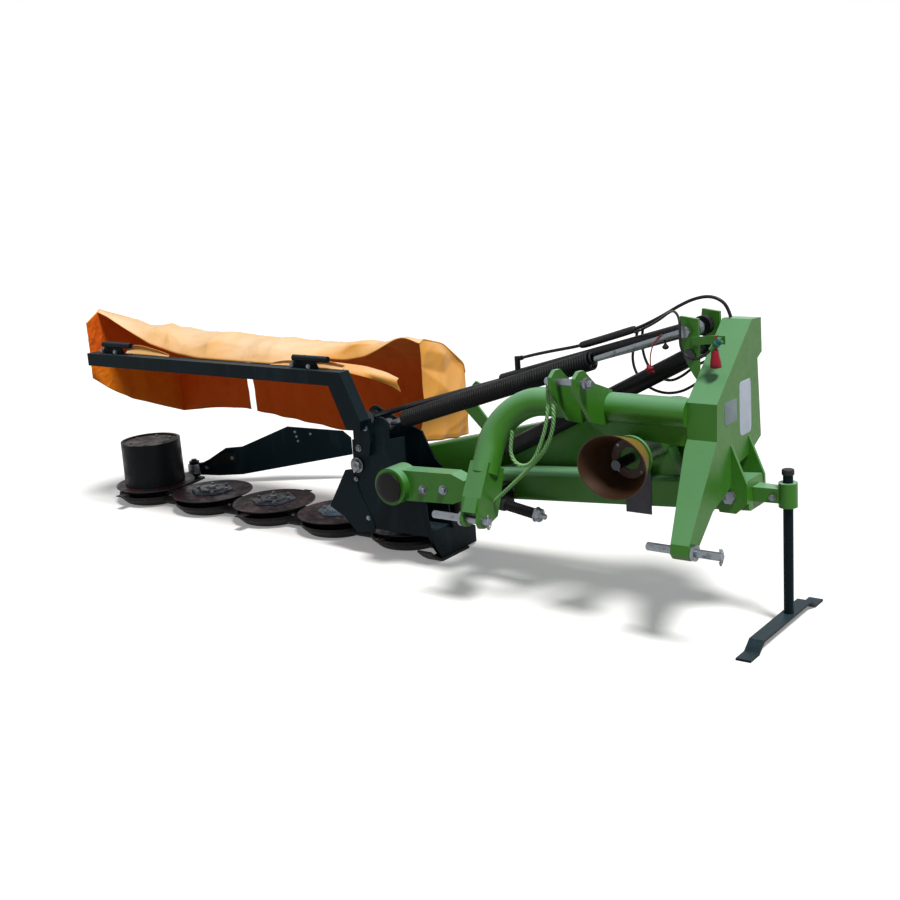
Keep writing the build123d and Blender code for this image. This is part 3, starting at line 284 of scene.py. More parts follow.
# Inside faces: painted shade, darker red-orange than outside; the outer end's copy is painted
# daylight.
CLOTH_SHADED_INSIDE = woven("cloth_shaded_inside", (0.86, 0.135, 0.006), (0.86, 0.16, 0.010),
                     (0.52, 0.070, 0.003), 0.0, (0.88, 0.22, 0.034))
CLOTH_LIT_INSIDE = woven("cloth_lit_inside", (0.90, 0.24, 0.012), (0.92, 0.30, 0.02),
                         (0.70, 0.13, 0.006), 0.0, (0.86, 0.15, 0.012))
GRIMY = painted("grimy_bar", (0.0045, 0.0045, 0.0055), (0.009, 0.007, 0.0065),
                (0.075, 0.035, 0.028), (0.040, 0.032, 0.028), roughness=0.5, dust_and_light_share=0.35,
                chips=0.68, gloss=0.14)
LABEL = rubbery("blank_label", (0.46, 0.52, 0.62), (0.42, 0.46, 0.50), 0.4, 0.3)
LABEL_GREY = rubbery("blank_label_grey", (0.16, 0.21, 0.24), (0.22, 0.26, 0.27), 0.4, 0.3)
TEAL = rubbery("teal_coupler", (0.004, 0.095, 0.085), (0.08, 0.16, 0.15), 0.35, 0.2)
RED = rubbery("red_cap", (0.27, 0.008, 0.020), (0.48, 0.13, 0.16), 0.34, 0.5)
BOLT_STEEL = bare_metal("bolt_steel", (0.16, 0.18, 0.21), (0.07, 0.05, 0.035), 0.42, 0.50)
DARK_STEEL = bare_metal("dark_steel", (0.035, 0.040, 0.044), (0.025, 0.02, 0.018), 0.36, 0.55)
HUB_STEEL = painted("hub_steel", (0.028, 0.070, 0.108), (0.012, 0.024, 0.036), (0.28, 0.34, 0.40),
                    (0.09, 0.15, 0.19), roughness=0.40, dust_and_light_share=0.5, chips=0.62, gloss=0.35)


def bell_finish():
    """Bell guard: brown-black painted shade inside, where faces look forwards, and dull yellow
    outside.
    """
    mat, nt, bsdf = new_material("bell_finish")
    patchy = between(nt, noise(nt, 11.0, 6.0, 0.65), 0.35, 0.68)
    # Painted shade: the forward-facing inside of the bell is brown-black.
    inside = blend_colour(nt, patchy, (0.042, 0.016, 0.005), (0.020, 0.010, 0.005))
    outside = blend_colour(nt, patchy, (0.26, 0.17, 0.030), (0.12, 0.085, 0.022))
    away = between(nt, surface_normal(nt)["Y"], -0.05, 0.05)
    fill(nt, bsdf, {"Base Color": blend_colour(nt, away, inside, outside),
                    "Roughness": between(nt, patchy, 0.0, 1.0, 0.38, 0.6),
                    "Specular IOR Level": 0.3})
    add_bump(nt, bsdf, noise(nt, 90.0, 4.0), 0.0006)
    return mat


def dress_cad():
    """Gives every CAD node a finish of its own or that of its material slot."""
    own = dict.fromkeys(("cutterbar", "skid_shoes", "inner_shoe", "gearbox"), GRIMY)
    # On the input shaft, dark steel in place of zinc is painted shade inside the bell guard.
    own.update(dict.fromkeys(("fold_rod", "input_shaft", "strut_pin"), DARK_STEEL))
    own["bell_guard"] = bell_finish()
    for index in range(DISC_COUNT):
        centre = tuple(place(disc_centre(index)))
        drum = index == DISC_COUNT - 1
        own[f"disc_{index + 1}"] = disc_finish(f"disc_finish_{index + 1}", centre, drum)
    for row in RECORD["subparts"]:
        finish = own.get(row["node"], FINISH.get(row["material_slot"]))
        if finish is not None:
            materials = NODES[row["node"]].data.materials
            materials.clear()
            materials.append(finish)


# Surfaces


def link(name, data):
    thing = bpy.data.objects.new(name, data)
    bpy.context.scene.collection.objects.link(thing)
    return thing


def surface(name, points, wrap=False, uv=None, keep=None, smooth=True, caps=False):
    """Mesh from a grid of points, rows by columns: one quad between each four neighbours.
    wrap joins the last column to the first, keep says which quads stay, caps close the end rows."""
    rows, cols = points.shape[:2]
    index = np.arange(rows * cols).reshape(rows, cols)
    nxt = np.roll(index, -1, axis=1) if wrap else index[:, 1:]
    here = index if wrap else index[:, :-1]
    quads = np.stack([here[:-1], nxt[:-1], nxt[1:], here[1:]], axis=-1)
    if keep is not None:
        quads = quads[keep]
    faces = quads.reshape(-1, 4).tolist()
    if caps:
        faces += [index[0, ::-1].tolist(), index[-1].tolist()]
    mesh = bpy.data.meshes.new(name)
    mesh.from_pydata(points.reshape(-1, 3).tolist(), [], faces)
    if uv is not None:
        layer = mesh.uv_layers.new(name="UVMap")
        corners = np.zeros(len(mesh.loops), np.int32)
        mesh.loops.foreach_get("vertex_index", corners)
        layer.data.foreach_set("uv", uv.reshape(-1, 2)[corners].ravel())
    mesh.polygons.foreach_set("use_smooth", np.full(len(mesh.polygons), smooth))
    mesh.update()
    return link(name, mesh)


def finish_piece(piece, body, slot, material=None):
    """Gives a piece its body, and the slot's material or one of its own."""
    piece.data.materials.append(material or FINISH[slot])
    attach(piece, body)
    return piece


def unit(vectors):
    return vectors / np.linalg.norm(vectors, axis=-1, keepdims=True)


def square_to(way):
    """Two directions square to each way and to each other."""
    helper = np.where(np.abs(way[..., 2:3]) < 0.9, [0.0, 0.0, 1.0], [1.0, 0.0, 0.0])
    side = unit(np.cross(way, helper))
    return side, np.cross(way, side)


def round_angles(sides):
    return np.linspace(0, 2 * np.pi, sides, endpoint=False)


def apart(count, rows, cols):
    """Which quads stay where count grids of rows by cols points are stacked and not joined."""
    keep = np.ones((count * rows - 1, cols), bool)
    keep[rows - 1::rows] = False
    return keep


def path_frame(path, steady):
    """Two directions square to the path at each point; steady keeps them from twisting."""
    tangent = unit(np.gradient(path, axis=0))
    side = unit(np.cross(tangent, steady))
    return side, np.cross(side, tangent)


def tube_points(path, radius, sides, steady):
    """A circle of that radius carried along the path, square to it."""
    side, rise = path_frame(path, steady)
    angle = round_angles(sides)[None, :, None]
    radius = np.broadcast_to(radius, (len(path),))[:, None, None]
    return path[:, None] + radius * (side[:, None] * np.cos(angle) + rise[:, None] * np.sin(angle))


def tube(name, path, radius, sides, steady):
    """The same as a closed mesh."""
    return surface(name, tube_points(path, radius, sides, steady), wrap=True, caps=True)


def coil(name, start, run, side, reach, turns, steps, wire, turned_in=False):
    """Wire wound evenly round the straight run from start: a circle carried along a helix, whose
    ends may be turned in towards the run."""
    s = np.linspace(0, 1, int(turns * steps))[:, None]
    angle = 2 * np.pi * turns * s
    if turned_in:
        reach = reach * np.clip(np.minimum(s, 1 - s) * 60 + 0.25, 0, 1)
    rise = np.cross(unit(run), side)
    path = start + run * s + reach * (np.cos(angle) * side + np.sin(angle) * rise)
    return tube(name, place(path), wire / 1000, 8, run)


def turned(name, body, slot, material, profile, centre, axis, sides=32, deep=0.0, waves=5):
    """A profile of (radius, height) turned about an axis; deep makes the radius wave."""
    axis = unit(np.asarray(axis, float))
    side, rise = square_to(axis)
    angle = round_angles(sides)
    profile = np.asarray(profile, float)
    reach = profile[:, 0:1] * (1 + deep * np.cos(waves * angle))[None]
    points = (side * (reach * np.cos(angle))[..., None] + rise * (reach * np.sin(angle))[..., None]
              + axis * profile[:, 1][:, None, None])
    piece = surface(name, place(np.asarray(centre, float) + points), wrap=True, caps=True)
    return finish_piece(piece, body, slot, material)


# Sides of a bolt's rings, then the rings' radii and heights as shares of the head's
HEAD_SIDES = 24
WASHER, CHAMFER, TIP = 1.30, 0.84, 0.02
HEAD_LEVELS = np.array([-0.02, 0.20, 0.21, 0.86, 1.0, 1.0])


def bolt_heads(name, body, rows):
    """Hexagon heads on washers: each row is x, y, z, the way it faces, radius and height, in mm.
    A head is two rings of the washer's radius, two hexagons, a smaller circle and a tiny one."""
    rows = np.asarray(rows, float)
    spot, facing, size, tall = rows[:, :3], unit(rows[:, 3:6]), rows[:, 6], rows[:, 7]
    side, rise = square_to(facing)
    angle = round_angles(HEAD_SIDES)
    hexagon = np.cos(np.pi / 6) / np.cos((angle + np.pi / 6) % (np.pi / 3) - np.pi / 6)
    even = np.ones(HEAD_SIDES)
    rings = [WASHER * even, WASHER * even, hexagon, hexagon, CHAMFER * even, TIP * even]
    reach = size[:, None, None] * np.stack(rings)[None]
    lift = tall[:, None, None] * HEAD_LEVELS[None, :, None] * even
    points = (spot[:, None, None] + side[:, None, None] * (reach * np.cos(angle))[..., None]
              + rise[:, None, None] * (reach * np.sin(angle))[..., None]
              + facing[:, None, None] * lift[..., None])
    keep = apart(len(rows), len(rings), HEAD_SIDES)
    grid = place(points.reshape(-1, HEAD_SIDES, 3))
    piece = surface(name, grid, wrap=True, keep=keep, smooth=False)
    return finish_piece(piece, body, "zinc", BOLT_STEEL)


# Canopy


OUTER_X, INNER_X = -2830.0, -1030.0
# The cloth's cross-sections: x, ridge y and z, rear hem z
STATIONS = np.array([
    (-2830, 400, 966, 380), (-2636, 440, 921, 410), (-2400, 440, 907, 428), (-1740, 440, 877, 368),
    (-1400, 500, 869, 385), (-1210, 575, 870, 400), (-1124, 590, 884, 408), (-1030, 590, 868, 417),
], float)
# The front edge: on the tube in the middle, lifted off it in an arch over each clamp
FRONT_EDGE = np.array([
    (-2830, 372, 962), (-2760, 368, 944), (-2693, 360, 921), (-2571, 336, 886), (-2419, 314, 838),
    (-2235, 298, 806), (-2080, 289, 793), (-1640, 289, 793), (-1560, 292, 800), (-1474, 360, 820),
    (-1430, 430, 797), (-1382, 472, 786), (-1300, 502, 800), (-1256, 518, 822), (-1210, 538, 850),
    (-1165, 546, 874), (-1124, 548, 884), (-1090, 546, 880), (-1030, 540, 862),
], float)
REAR_Y = 840.0
REAR_TOP_Z = 721.0
SHOULDER = (778.0, 772.0)
SLIT = (-2345.0, -2300.0)
# The sheet's lengthwise lines: front edge, brow, ridge, crown, shoulder, rear top, curtain middle
# and hem; these are the columns from each to the next
STEPS = np.array([9, 10, 12, 13, 8, 17, 17])
KNOTS = np.concatenate([[0], np.cumsum(STEPS)])
REAR_TOP = 5
ROUNDING = 7  # times that neighbours are averaged
# Long creases: slope, place along the sheet and depth
CREASES = ((0.55, 240.0, 4.0), (-0.42, 1190.0, 3.5), (0.30, 620.0, 3.0), (-0.65, 1560.0, 3.5),
           (0.16, 980.0, 3.0))
HOOPS = np.array([OUTER_X, -2440, -2050, -1680, -1330, INNER_X])
SEAM_X = -2415
# Depths in mm of the sag between hoops, of the curtain's hem folds and of its seam
SAG, FOLDS, SEAM_DEPTH = 12.0, 6.0, 3.0
# Thickness and seam radius in metres
CLOTH_THICKNESS = 0.0022
SEAM_RADIUS = 0.0032


def slowly(values, width):
    """Moving average along the first axis, with the ends held."""
    padded = np.concatenate([values[:1]] * width + [values] + [values[-1:]] * width)
    return sum(padded[i:i + len(values)] for i in range(2 * width + 1)) / (2 * width + 1)


def sheet_lines(x):
    """The sheet's lengthwise lines at each x: straight between stations, then eased along x."""
    front_y, front_z = (slowly(np.interp(x, FRONT_EDGE[:, 0], c), 2) for c in FRONT_EDGE[:, 1:].T)
    ridge_y, ridge_z, low = (slowly(np.interp(x, STATIONS[:, 0], c), 3) for c in STATIONS[:, 1:].T)
    climb = np.clip((ridge_z - front_z) / 85, 0, 1)
    brow_y = front_y + (ridge_y - front_y) * (0.5 - 0.2 * climb)
    brow_z = front_z + (ridge_z - front_z) * 0.5 + 10 + 12 * climb
    crown_y = ridge_y + (SHOULDER[0] - ridge_y) * 0.56
    crown_z = (ridge_z + SHOULDER[1]) / 2 + 16
    flat = np.ones_like(x)
    ys = [front_y, brow_y, ridge_y, crown_y, SHOULDER[0] * flat] + [REAR_Y * flat] * 3
    zs = [front_z, brow_z, ridge_z, crown_z, SHOULDER[1] * flat, REAR_TOP_Z * flat,
          (REAR_TOP_Z + low) / 2, low]
    return np.stack(ys, axis=1), np.stack(zs, axis=1)


def ripple(u, v, seed, size, sharp=0.8, octaves=5):
    """Creases: a few slanted waves bent by each other, folded at zero to give narrow crests."""
    rng = np.random.default_rng(seed)
    total = np.zeros(np.broadcast(u, v).shape)
    for octave in range(octaves):
        turn = rng.uniform(0, np.pi)
        wave = np.pi / (size / 1.7 ** octave)
        bend = 1.1 * np.sin(rng.uniform(0, 6) + u * wave * 0.37 + v * wave * 0.61)
        bend = bend + 0.6 * np.sin(rng.uniform(0, 6) - u * wave * 0.83 + v * wave * 0.29)
        phase = (u * np.cos(turn) + v * np.sin(turn)) * wave + bend + rng.uniform(0, 6)
        total += (0.64 - np.abs(np.sin(phase)) ** sharp) / 1.45 ** octave
    return total


def main_cloth():
    """The canopy's sheet: its lengthwise lines joined by a cross-section softened by averaging
    neighbours, sagging between hoops by a sine, with creases and hem folds along its normal."""
    edges = [OUTER_X, -2600.0, *SLIT, -1740.0, -1500.0, INNER_X]
    counts = [30, 30, 5, 62, 30, 66]
    spans = [np.linspace(a, b, n, endpoint=False) for a, b, n in zip(edges, edges[1:], counts)]
    x = np.concatenate(spans + [[INNER_X]])
    t = np.arange(KNOTS[-1] + 1)
    weights = np.stack([np.interp(t, KNOTS, row) for row in np.eye(len(KNOTS))], axis=1)
    y, z = (line @ weights.T for line in sheet_lines(x))
    for _ in range(ROUNDING):
        y[:, 1:-1] = (y[:, :-2] + y[:, 1:-1] * 2 + y[:, 2:]) / 4
        z[:, 1:-1] = (z[:, :-2] + z[:, 1:-1] * 2 + z[:, 2:]) / 4
    points = np.stack([np.broadcast_to(x[:, None], y.shape), y, z], axis=-1)
    normal = unit(np.cross(np.gradient(points, axis=0), np.gradient(points, axis=1)))
    steps = np.linalg.norm(np.diff(points, axis=1), axis=-1)
    arc = np.concatenate([np.zeros((len(x), 1)), np.cumsum(steps, 1)], 1)
    share = np.interp(x, HOOPS, np.arange(len(HOOPS))) % 1.0
    free = np.sin(np.pi * share)[:, None] ** 0.8
    near_front = np.clip(t / 8.0, 0.15, 1)[None]
    near_seams = np.clip(np.minimum(x - OUTER_X, INNER_X - x) / 50, 0, 1)[:, None]
    hanging = np.clip((t - KNOTS[REAR_TOP]) / (KNOTS[-1] - KNOTS[REAR_TOP]), 0, 1)[None]
    folds = np.sin(x[:, None] / 30.0 + 1.9 * np.sin(x[:, None] / 170.0)) * hanging ** 1.3 * FOLDS
    seam = -SEAM_DEPTH * np.exp(-(((x - SEAM_X) / 7) ** 2))[:, None] * hanging ** 0.2
    creases = ripple(points[..., 0] * 0.62, arc, 4, 250.0, 0.6, 3)
    creases *= (8.5 - 4.5 * hanging) * near_front
    for slope, shift, deep in CREASES:
        off = (points[..., 0] - OUTER_X - shift) * slope + (arc - 250)
        creases += deep * np.exp(-np.abs(off) / 26.0) * near_front * (1 - hanging)
    sag = -SAG * free * near_front * (1 - hanging)
    points += normal * ((creases + sag + folds) * near_seams + seam)[..., None]
    keep = np.ones((len(x) - 1, len(t) - 1), bool)
    middle = (x[:-1] + x[1:]) / 2
    in_slit = (middle > SLIT[0]) & (middle < SLIT[1])
    keep[np.ix_(in_slit, t[:-1] >= KNOTS[REAR_TOP] + 2)] = False
    uv = np.stack([np.broadcast_to(x[:, None], arc.shape), arc], axis=-1) / 1000.0
    grid = place(points[:, ::-1])
    return surface("canopy_cloth", grid, uv=uv[:, ::-1], keep=keep[:, ::-1]), points


def end_cloth(name, top_line, low_line, shape):
    """An end curtain: straight columns from its top line down to its own hem, each point moved
    along X by shape(y, z, share of the way down, share of the way back)."""
    y, top = top_line[:, 1], top_line[:, 2]
    low = np.interp(y, *np.asarray(low_line, float).T)
    v = np.linspace(0, 1, 60)[None]
    z = top[:, None] + (low - top)[:, None] * v
    yy = np.broadcast_to(y[:, None], z.shape)
    u = ((y - y[0]) / (y[-1] - y[0]))[:, None]
    edge = np.clip(v * 9, 0, 1) * np.clip((1 - u) * 9, 0, 1)
    xx = top_line[:, 0][:, None] + shape(yy, z, v, u) * edge
    uv = np.stack([yy, z], axis=-1) / 1000.0
    points = np.stack([xx, yy, z], axis=-1)
    if name == "canopy_outer_end":
        points, uv = points[::-1], uv[::-1]
    return surface(name, place(points), uv=uv)


def outer_shape(y, z, v, u):
    """Billows outwards by sines, with upright folds that grow towards the hem."""
    billow = -7.0 * np.abs(np.sin(np.pi * u)) ** 0.6 * np.sin(np.pi * v * 0.7)
    folds = 5.0 * np.sin(y / 24.0 + 1.3 * np.sin(y / 77.0)) * v ** 1.4
    return billow + folds + ripple(y, z, 11, 170.0) * 4.0


def inner_shape(y, z, v, u):
    """Leans out from the seam to a slanted crease and back in below it. Flat facets come from the
    largest and smallest of a few tilted planes, and folds grow at the hem."""
    above = (y - 502) * 0.640 + (z - 790) * 0.770
    lean = 18.0 - 0.10 * np.maximum(above, 0) + 0.24 * np.minimum(above, 0)
    ridges = [(0.20, 0.16, 4), (-0.18, 0.10, 2), (0.06, -0.24, 0), (-0.10, -0.12, 3)]
    planes = np.stack([(y - 690) * a + (z - 720) * b + c for a, b, c in ridges])
    facets = np.maximum(np.minimum(planes[0], planes[1]), np.minimum(planes[2], planes[3]))
    folds = 6.0 * np.sin(y / 19.0 + 1.2 * np.sin(y / 60.0)) * v ** 2.4
    return lean + folds + np.clip(facets, -22, 14) + ripple(y, z, 23, 210.0, 0.7, 2) * 5.0


def strip_uv(points):
    """A narrow strip's UV, in metres: along X, and across it by Y and Z together."""
    return np.stack([points[..., 0], points[..., 1] + points[..., 2]], axis=-1) / 1000.0


def front_flap(name, start, end, rise):
    """An apron that stays by the tube under a raised front edge: a lip rolled over from the tube,
    whose section is a quarter turn that widens and lifts from start to end along X."""
    x = np.linspace(start, end, 70)
    t = np.linspace(0, 1, 22)[None]
    grow = ((x - start) / (end - start))[:, None]
    y = 288 + 17 * np.sin(t * np.pi * 0.85) * (0.4 + 0.6 * grow)
    lift = (4 + rise * np.sin(grow * np.pi * 0.8)) * np.sin(t * np.pi * 0.5)
    z = 791 + lift + 3 * np.sin(x / 37.0)[:, None] * t
    points = np.stack([np.broadcast_to(x[:, None], z.shape), y, z], axis=-1)
    order = slice(None, None, -1) if end > start else slice(None)
    return surface(name, place(points[:, order]), uv=strip_uv(points)[:, order])


TONGUE_TOP = np.array([(-1420, 318, 808), (-1335, 372, 800), (-1270, 470, 770), (-1194, 505, 743),
                       (-1134, 525, 713)], float)
TONGUE_LOW = np.array([(-1420, 322, 790), (-1310, 376, 762), (-1239, 470, 717), (-1164, 505, 682),
                       (-1131, 525, 655)], float)


def tongue():
    """The apron's loose end under the hood: straight across between two lines, which are averaged
    along their length, bowed forwards by a sine, with two long folds."""
    s, t = np.linspace(0, 4, 80), np.linspace(0, 1, 24)[None, :, None]
    top, low = (np.stack([np.interp(s, np.arange(5), c) for c in line.T], axis=1)
                for line in (TONGUE_TOP, TONGUE_LOW))
    top, low = slowly(top, 4)[:, None], slowly(low, 4)[:, None]
    across = np.sin(np.pi * t) * 14 + np.sin(2 * np.pi * t + s[:, None, None] * 1.7) * 4
    points = top + (low - top) * t - across * np.array([0.35, 0.80, -0.3])
    return surface("canopy_tongue", place(points), uv=strip_uv(points))


def sheet_area(piece):
    mesh = piece.data
    areas = np.zeros(len(mesh.polygons))
    mesh.polygons.foreach_get("area", areas)
    return float(areas.sum())


def make_canopy():
    """Cloth, end curtains and lips, each with its thickness, and the seams as thin cords."""
    cloth, points = main_cloth()
    rear = KNOTS[REAR_TOP] + 1
    curtain = [rear + 3]
    front_corner = np.array([OUTER_X, 300.0, 918.0])
    brow = np.linspace(0, 1, 14, endpoint=False)[:, None]
    outer_top = np.concatenate([front_corner + (points[0, 0] - front_corner) * brow,
                                points[0, :rear], points[0, curtain]])
    inner_top = np.concatenate([points[-1, :rear], points[-1, curtain]])
    outer = end_cloth("canopy_outer_end", outer_top,
                      [(300, 655), (382, 592), (519, 511), (840, 380)], outer_shape)
    inner = end_cloth("canopy_inner_end", inner_top,
                      [(540, 462), (576, 440), (745, 417), (840, 417)], inner_shape)
    flaps = [front_flap("canopy_front_flap", -1640, -1238, 24),
             front_flap("canopy_outer_flap", -2270, -2560, 34), tongue()]
    seams = [finish_piece(tube(name, place(line), SEAM_RADIUS, 8, (1, 0, 0)), "bar", "orange_cloth")
             for name, line in (("outer_seam", outer_top), ("inner_seam", inner_top))]
    for piece in (cloth, outer, inner, *flaps):
        area = sheet_area(piece)
        thick = piece.modifiers.new("cloth_thickness", "SOLIDIFY")
        thick.thickness = CLOTH_THICKNESS
        thick.offset = -1.0
        thick.material_offset = 1
        piece.data.materials.append(FINISH["orange_cloth"])
        # Inner faces: painted shade, and on the outer end painted daylight through the cloth.
        piece.data.materials.append(CLOTH_LIT_INSIDE if piece is outer else CLOTH_SHADED_INSIDE)
        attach(piece, "bar")
    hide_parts("canopy")


# Springs, hoses and ropes


def make_spring():
    """The relief link's coils, carried by the relief rod."""
    way = SPRING_END - MAST_PIN
    span = np.linalg.norm(way)
    way /= span
    start = MAST_PIN + [0, SPRING_Y, 0] + way * THREAD_LENGTH
    length = span - THREAD_LENGTH - HOOK_LENGTH
    coils = coil("relief_coils", start + way * SPRING_WIRE, way * (length - 2 * SPRING_WIRE),
                 BACK, SPRING_RADIUS - SPRING_WIRE, length / SPRING_PITCH, 20, SPRING_WIRE,
                 turned_in=True)
    finish_piece(coils, "relief_rod", "black_paint")
    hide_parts("relief_spring")
    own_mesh(coils)


# Points a step apart along ropes and hoses, the ropes' lay and their strands' place and radius as
# shares of the rope's, and the long hose's sleeve; in metres but for the sleeve's ends
ROPE_STEP, HOSE_STEP = 0.0022, 0.004
ROPE_PITCH = 0.046
STRAND_REACH, STRAND_RADIUS = 0.66, 0.61
SLEEVE_ENDS = (-190, 40)
SLEEVE_RADIUS, SLEEVE_TAPER = 0.0135, 0.0025
# Node, body, radius in mm, stiffness, length in metres, far end, route from the hitch in mm
CORDS = [
    ("hose_long", "fold_barrel", 6.0, "medium", 0.907, "object", [
        (-446.47, 418, 858.16), (-395, 418, 872), (-300, 418, 893), (-200, 418, 913),
        (-108, 418, 940), (-25, 418, 966), (56, 418, 992), (140, 430, 1034), (196, 440, 1068),
        (248, 452, 1093), (300, 463, 1103), (340, 472, 1090), (364, 478, 1062),
        (372, 481, 1028.5)]),
    ("hose_coupler", "headstock", 4.5, "medium", 0.5365, "object", [
        (44, 402, 976), (100, 392, 1000), (158, 372, 1030), (212, 336, 1062), (256, 294, 1078),
        (288, 266, 1058), (296, 254, 1014), (296, 250, 960), (326, 248, 926), (372, 250, 926),
        (402, 258, 957)]),
    ("hose_loop_outer", "headstock", 5.0, "medium", 0.5545, "object", [
        (38, 438, 984), (20, 454, 950), (4, 460, 908), (-2, 460, 868), (8, 459, 826),
        (36, 458, 788), (80, 456, 761), (136, 454, 752), (196, 452, 764), (246, 450, 792),
        (292, 446, 826), (339.1, 443, 856)]),
    ("hose_loop_inner", "headstock", 5.0, "medium", 0.4728, "object", [
        (58, 438, 990), (42, 455, 952), (40, 460, 908), (50, 460, 868), (72, 459, 832),
        (108, 457, 806), (152, 455, 798), (196, 453, 818), (238, 450, 850), (286, 446, 878),
        (339.8, 443, 900)]),
    ("green_rope", "headstock", 6.0, "limp", 0.589, "object", [
        (-76, 30, 854), (-76, 24, 812), (-62, 18, 770), (-71, 20, 702), (-110, 28, 626),
        (-187, 40, 551), (-290, 60, 465), (-370.7, 75, 398)]),
    ("rope_tail", "headstock", 5.5, "limp", 0.481, "bare", [
        (-91, 30, 852.8), (-84, 16, 812), (-78, 4, 770), (-92, 2, 702), (-118, 2, 640),
        (-142, 2, 594), (-178, 2, 566), (-220, 2, 572), (-240, 2, 610), (-232, 2, 655),
        (-226, 2, 690)]),
]


def route_curve(name, route):
    """The route as one smooth open spline with its points as control points."""
    data = bpy.data.curves.new(name, "CURVE")
    data.dimensions = "3D"
    data.resolution_u = 14
    spline = data.splines.new("NURBS")
    spots = place(route)
    spline.points.add(len(spots) - 1)
    spline.points.foreach_set("co", np.hstack([spots, np.ones((len(spots), 1))]).ravel())
    spline.order_u = 3
    spline.use_endpoint_u = True
    return link(name, data)


def curve_points(curve):
    """The points of a curve that has no bevel yet, as Blender's own evaluation gives them."""
    mesh = bpy.data.meshes.new_from_object(curve)
    points = np.zeros(len(mesh.vertices) * 3)
    mesh.vertices.foreach_get("co", points)
    bpy.data.meshes.remove(mesh)
    return points.reshape(-1, 3)


def travelled(points):
    """The way gone along the points, at each of them."""
    return np.concatenate([[0], np.cumsum(np.linalg.norm(np.diff(points, axis=0), axis=1))])


def even_path(points, step):
    """The same path with its points a step apart along it."""
    gone = travelled(points)
    at = np.linspace(0, gone[-1], int(gone[-1] / step) + 1)
    return np.stack([np.interp(at, gone, c) for c in points.T], axis=1)


def laid_rope(name, path, radius):
    """Three strands: each a circle carried along a helix round the rope's path."""
    side, rise = path_frame(path, BACK)
    strands = []
    for strand in range(3):
        angle = 2 * np.pi * (travelled(path) / ROPE_PITCH + strand / 3)[:, None]
        core = path + STRAND_REACH * radius * (side * np.cos(angle) + rise * np.sin(angle))
        strands.append(tube_points(core, STRAND_RADIUS * radius, 8, BACK))
    return surface(name, np.concatenate(strands), wrap=True, keep=apart(3, len(path), 8))


def make_cords():
    """Limp cords as laid ropes, the others as round hoses, all along their routes."""
    for name, body, radius, stiffness, length, far_end, route in CORDS:
        curve = route_curve(f"{name}_line", route)
        if stiffness == "limp":
            path = even_path(curve_points(curve), ROPE_STEP)
            rope = laid_rope(f"{name}_strands", path, radius / 1000)
            bpy.data.objects.remove(curve)
            finish_piece(rope, body, "green_rope")
            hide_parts(name)
            continue
        if name == "hose_long":
            path = even_path(curve_points(curve), HOSE_STEP)
            start, end = (place([x, 0, 0])[0] for x in SLEEVE_ENDS)
            inside = path[(path[:, 0] > start) & (path[:, 0] < end)]
            ends = np.abs(np.linspace(-1, 1, len(inside))) ** 12
            swell = SLEEVE_RADIUS - SLEEVE_TAPER * ends
            sleeve = tube("hose_sleeve", inside, swell, 20, BACK)
            finish_piece(sleeve, body, "black_rubber")
        curve.data.bevel_depth = radius / 1000
        curve.data.bevel_resolution = 5
        curve.data.use_fill_caps = True
        curve.data.materials.append(FINISH["black_hose"])
        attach(curve, body)
        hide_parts(name)


# Small parts


def faced(way, rows):
    """Bolt rows that face one way, from rows of x, y, z, radius and height."""
    return [(*row[:3], *way, *row[3:]) for row in rows]


def six_round(centre, reach, turn, z, size, tall):
    """Six bolt rows, without their facing, evenly round an upright axis."""
    return [(centre[0] + reach * math.cos(a), centre[1] + reach * math.sin(a), z, size, tall)
            for a in np.radians(np.arange(0, 360, 60) + turn)]


def make_bolts():
    """Bolt heads on headstock, bar and discs, and the scalloped crowns of the discs' hubs."""
    arm = [(-821, 230, 348, 15, 13), (-722, 230, 359, 15, 13)]
    guard = [(x, 462, 353 + (x + 960) * 0.2153 + side * (86 + (x + 960) * 0.026), 7, 7)
             for x in (-640, -300, -60) for side in (1, -1)]
    housing = [(150 + 62 * math.cos(a), 150, 592 + 62 * math.sin(a), 6, 6)
               for a in np.radians([45, 135, 225, 315])]
    holder_and_latch = [(576, 340, 452, 10, 9), (-470, 240, 366, 10, 9)]
    on_slope = faced((0, -1, -math.sin(BEAM_SLOPE)), [(-450, 308, 372, 8, 7)])
    bolt_heads("headstock_bolts", "headstock",
               faced(FRONT, arm + guard + housing + holder_and_latch) + on_slope)
    bracket = [(-1213, 301, 391, 25, 16), (-1180, 283, 560, 11, 10), (-1138, 283, 560, 11, 10),
               (-1180, 283, 470, 11, 10), (-1225, 301, 330, 8, 7), (-1175, 301, 168, 8, 7)]
    clamps = [(x + shift, 254, z, 8, 7) for shift, z in ((-62, 806), (30, 802))
              for x in (-2620, -1420)]
    bar = [(FIRST_DISC[0] - DISC_PITCH * (i + 0.5) + shift, 477, 54, 7, 6)
           for i in range(DISC_COUNT - 1) for shift in (-28, 28)]
    bolt_heads("bar_bolts", "bar", faced(FRONT, bracket + clamps) + faced(UP, bar))
    crown = [(96, 88), (97, 93), (90, 96), (64, 97), (60, 101), (30, 102), (28, 99), (2, 99)]
    for index in range(DISC_COUNT - 1):
        centre, body = disc_centre(index), f"disc_{index + 1}"
        turned(f"hub_crown_{index + 1}", body, "disc_steel", HUB_STEEL, crown, centre, UP,
               sides=72, deep=0.045, waves=6)
        heads = six_round(centre, 78, 15, 95.5, 9, 10) + [(*centre[:2], 99, 19, 12)]
        bolt_heads(f"hub_bolts_{index + 1}", body, faced(UP, heads))
    lid = six_round(disc_centre(DISC_COUNT - 1), 96, 0, 298, 7, 5)
    bolt_heads("drum_bolts", "disc_5", faced(UP, lid))


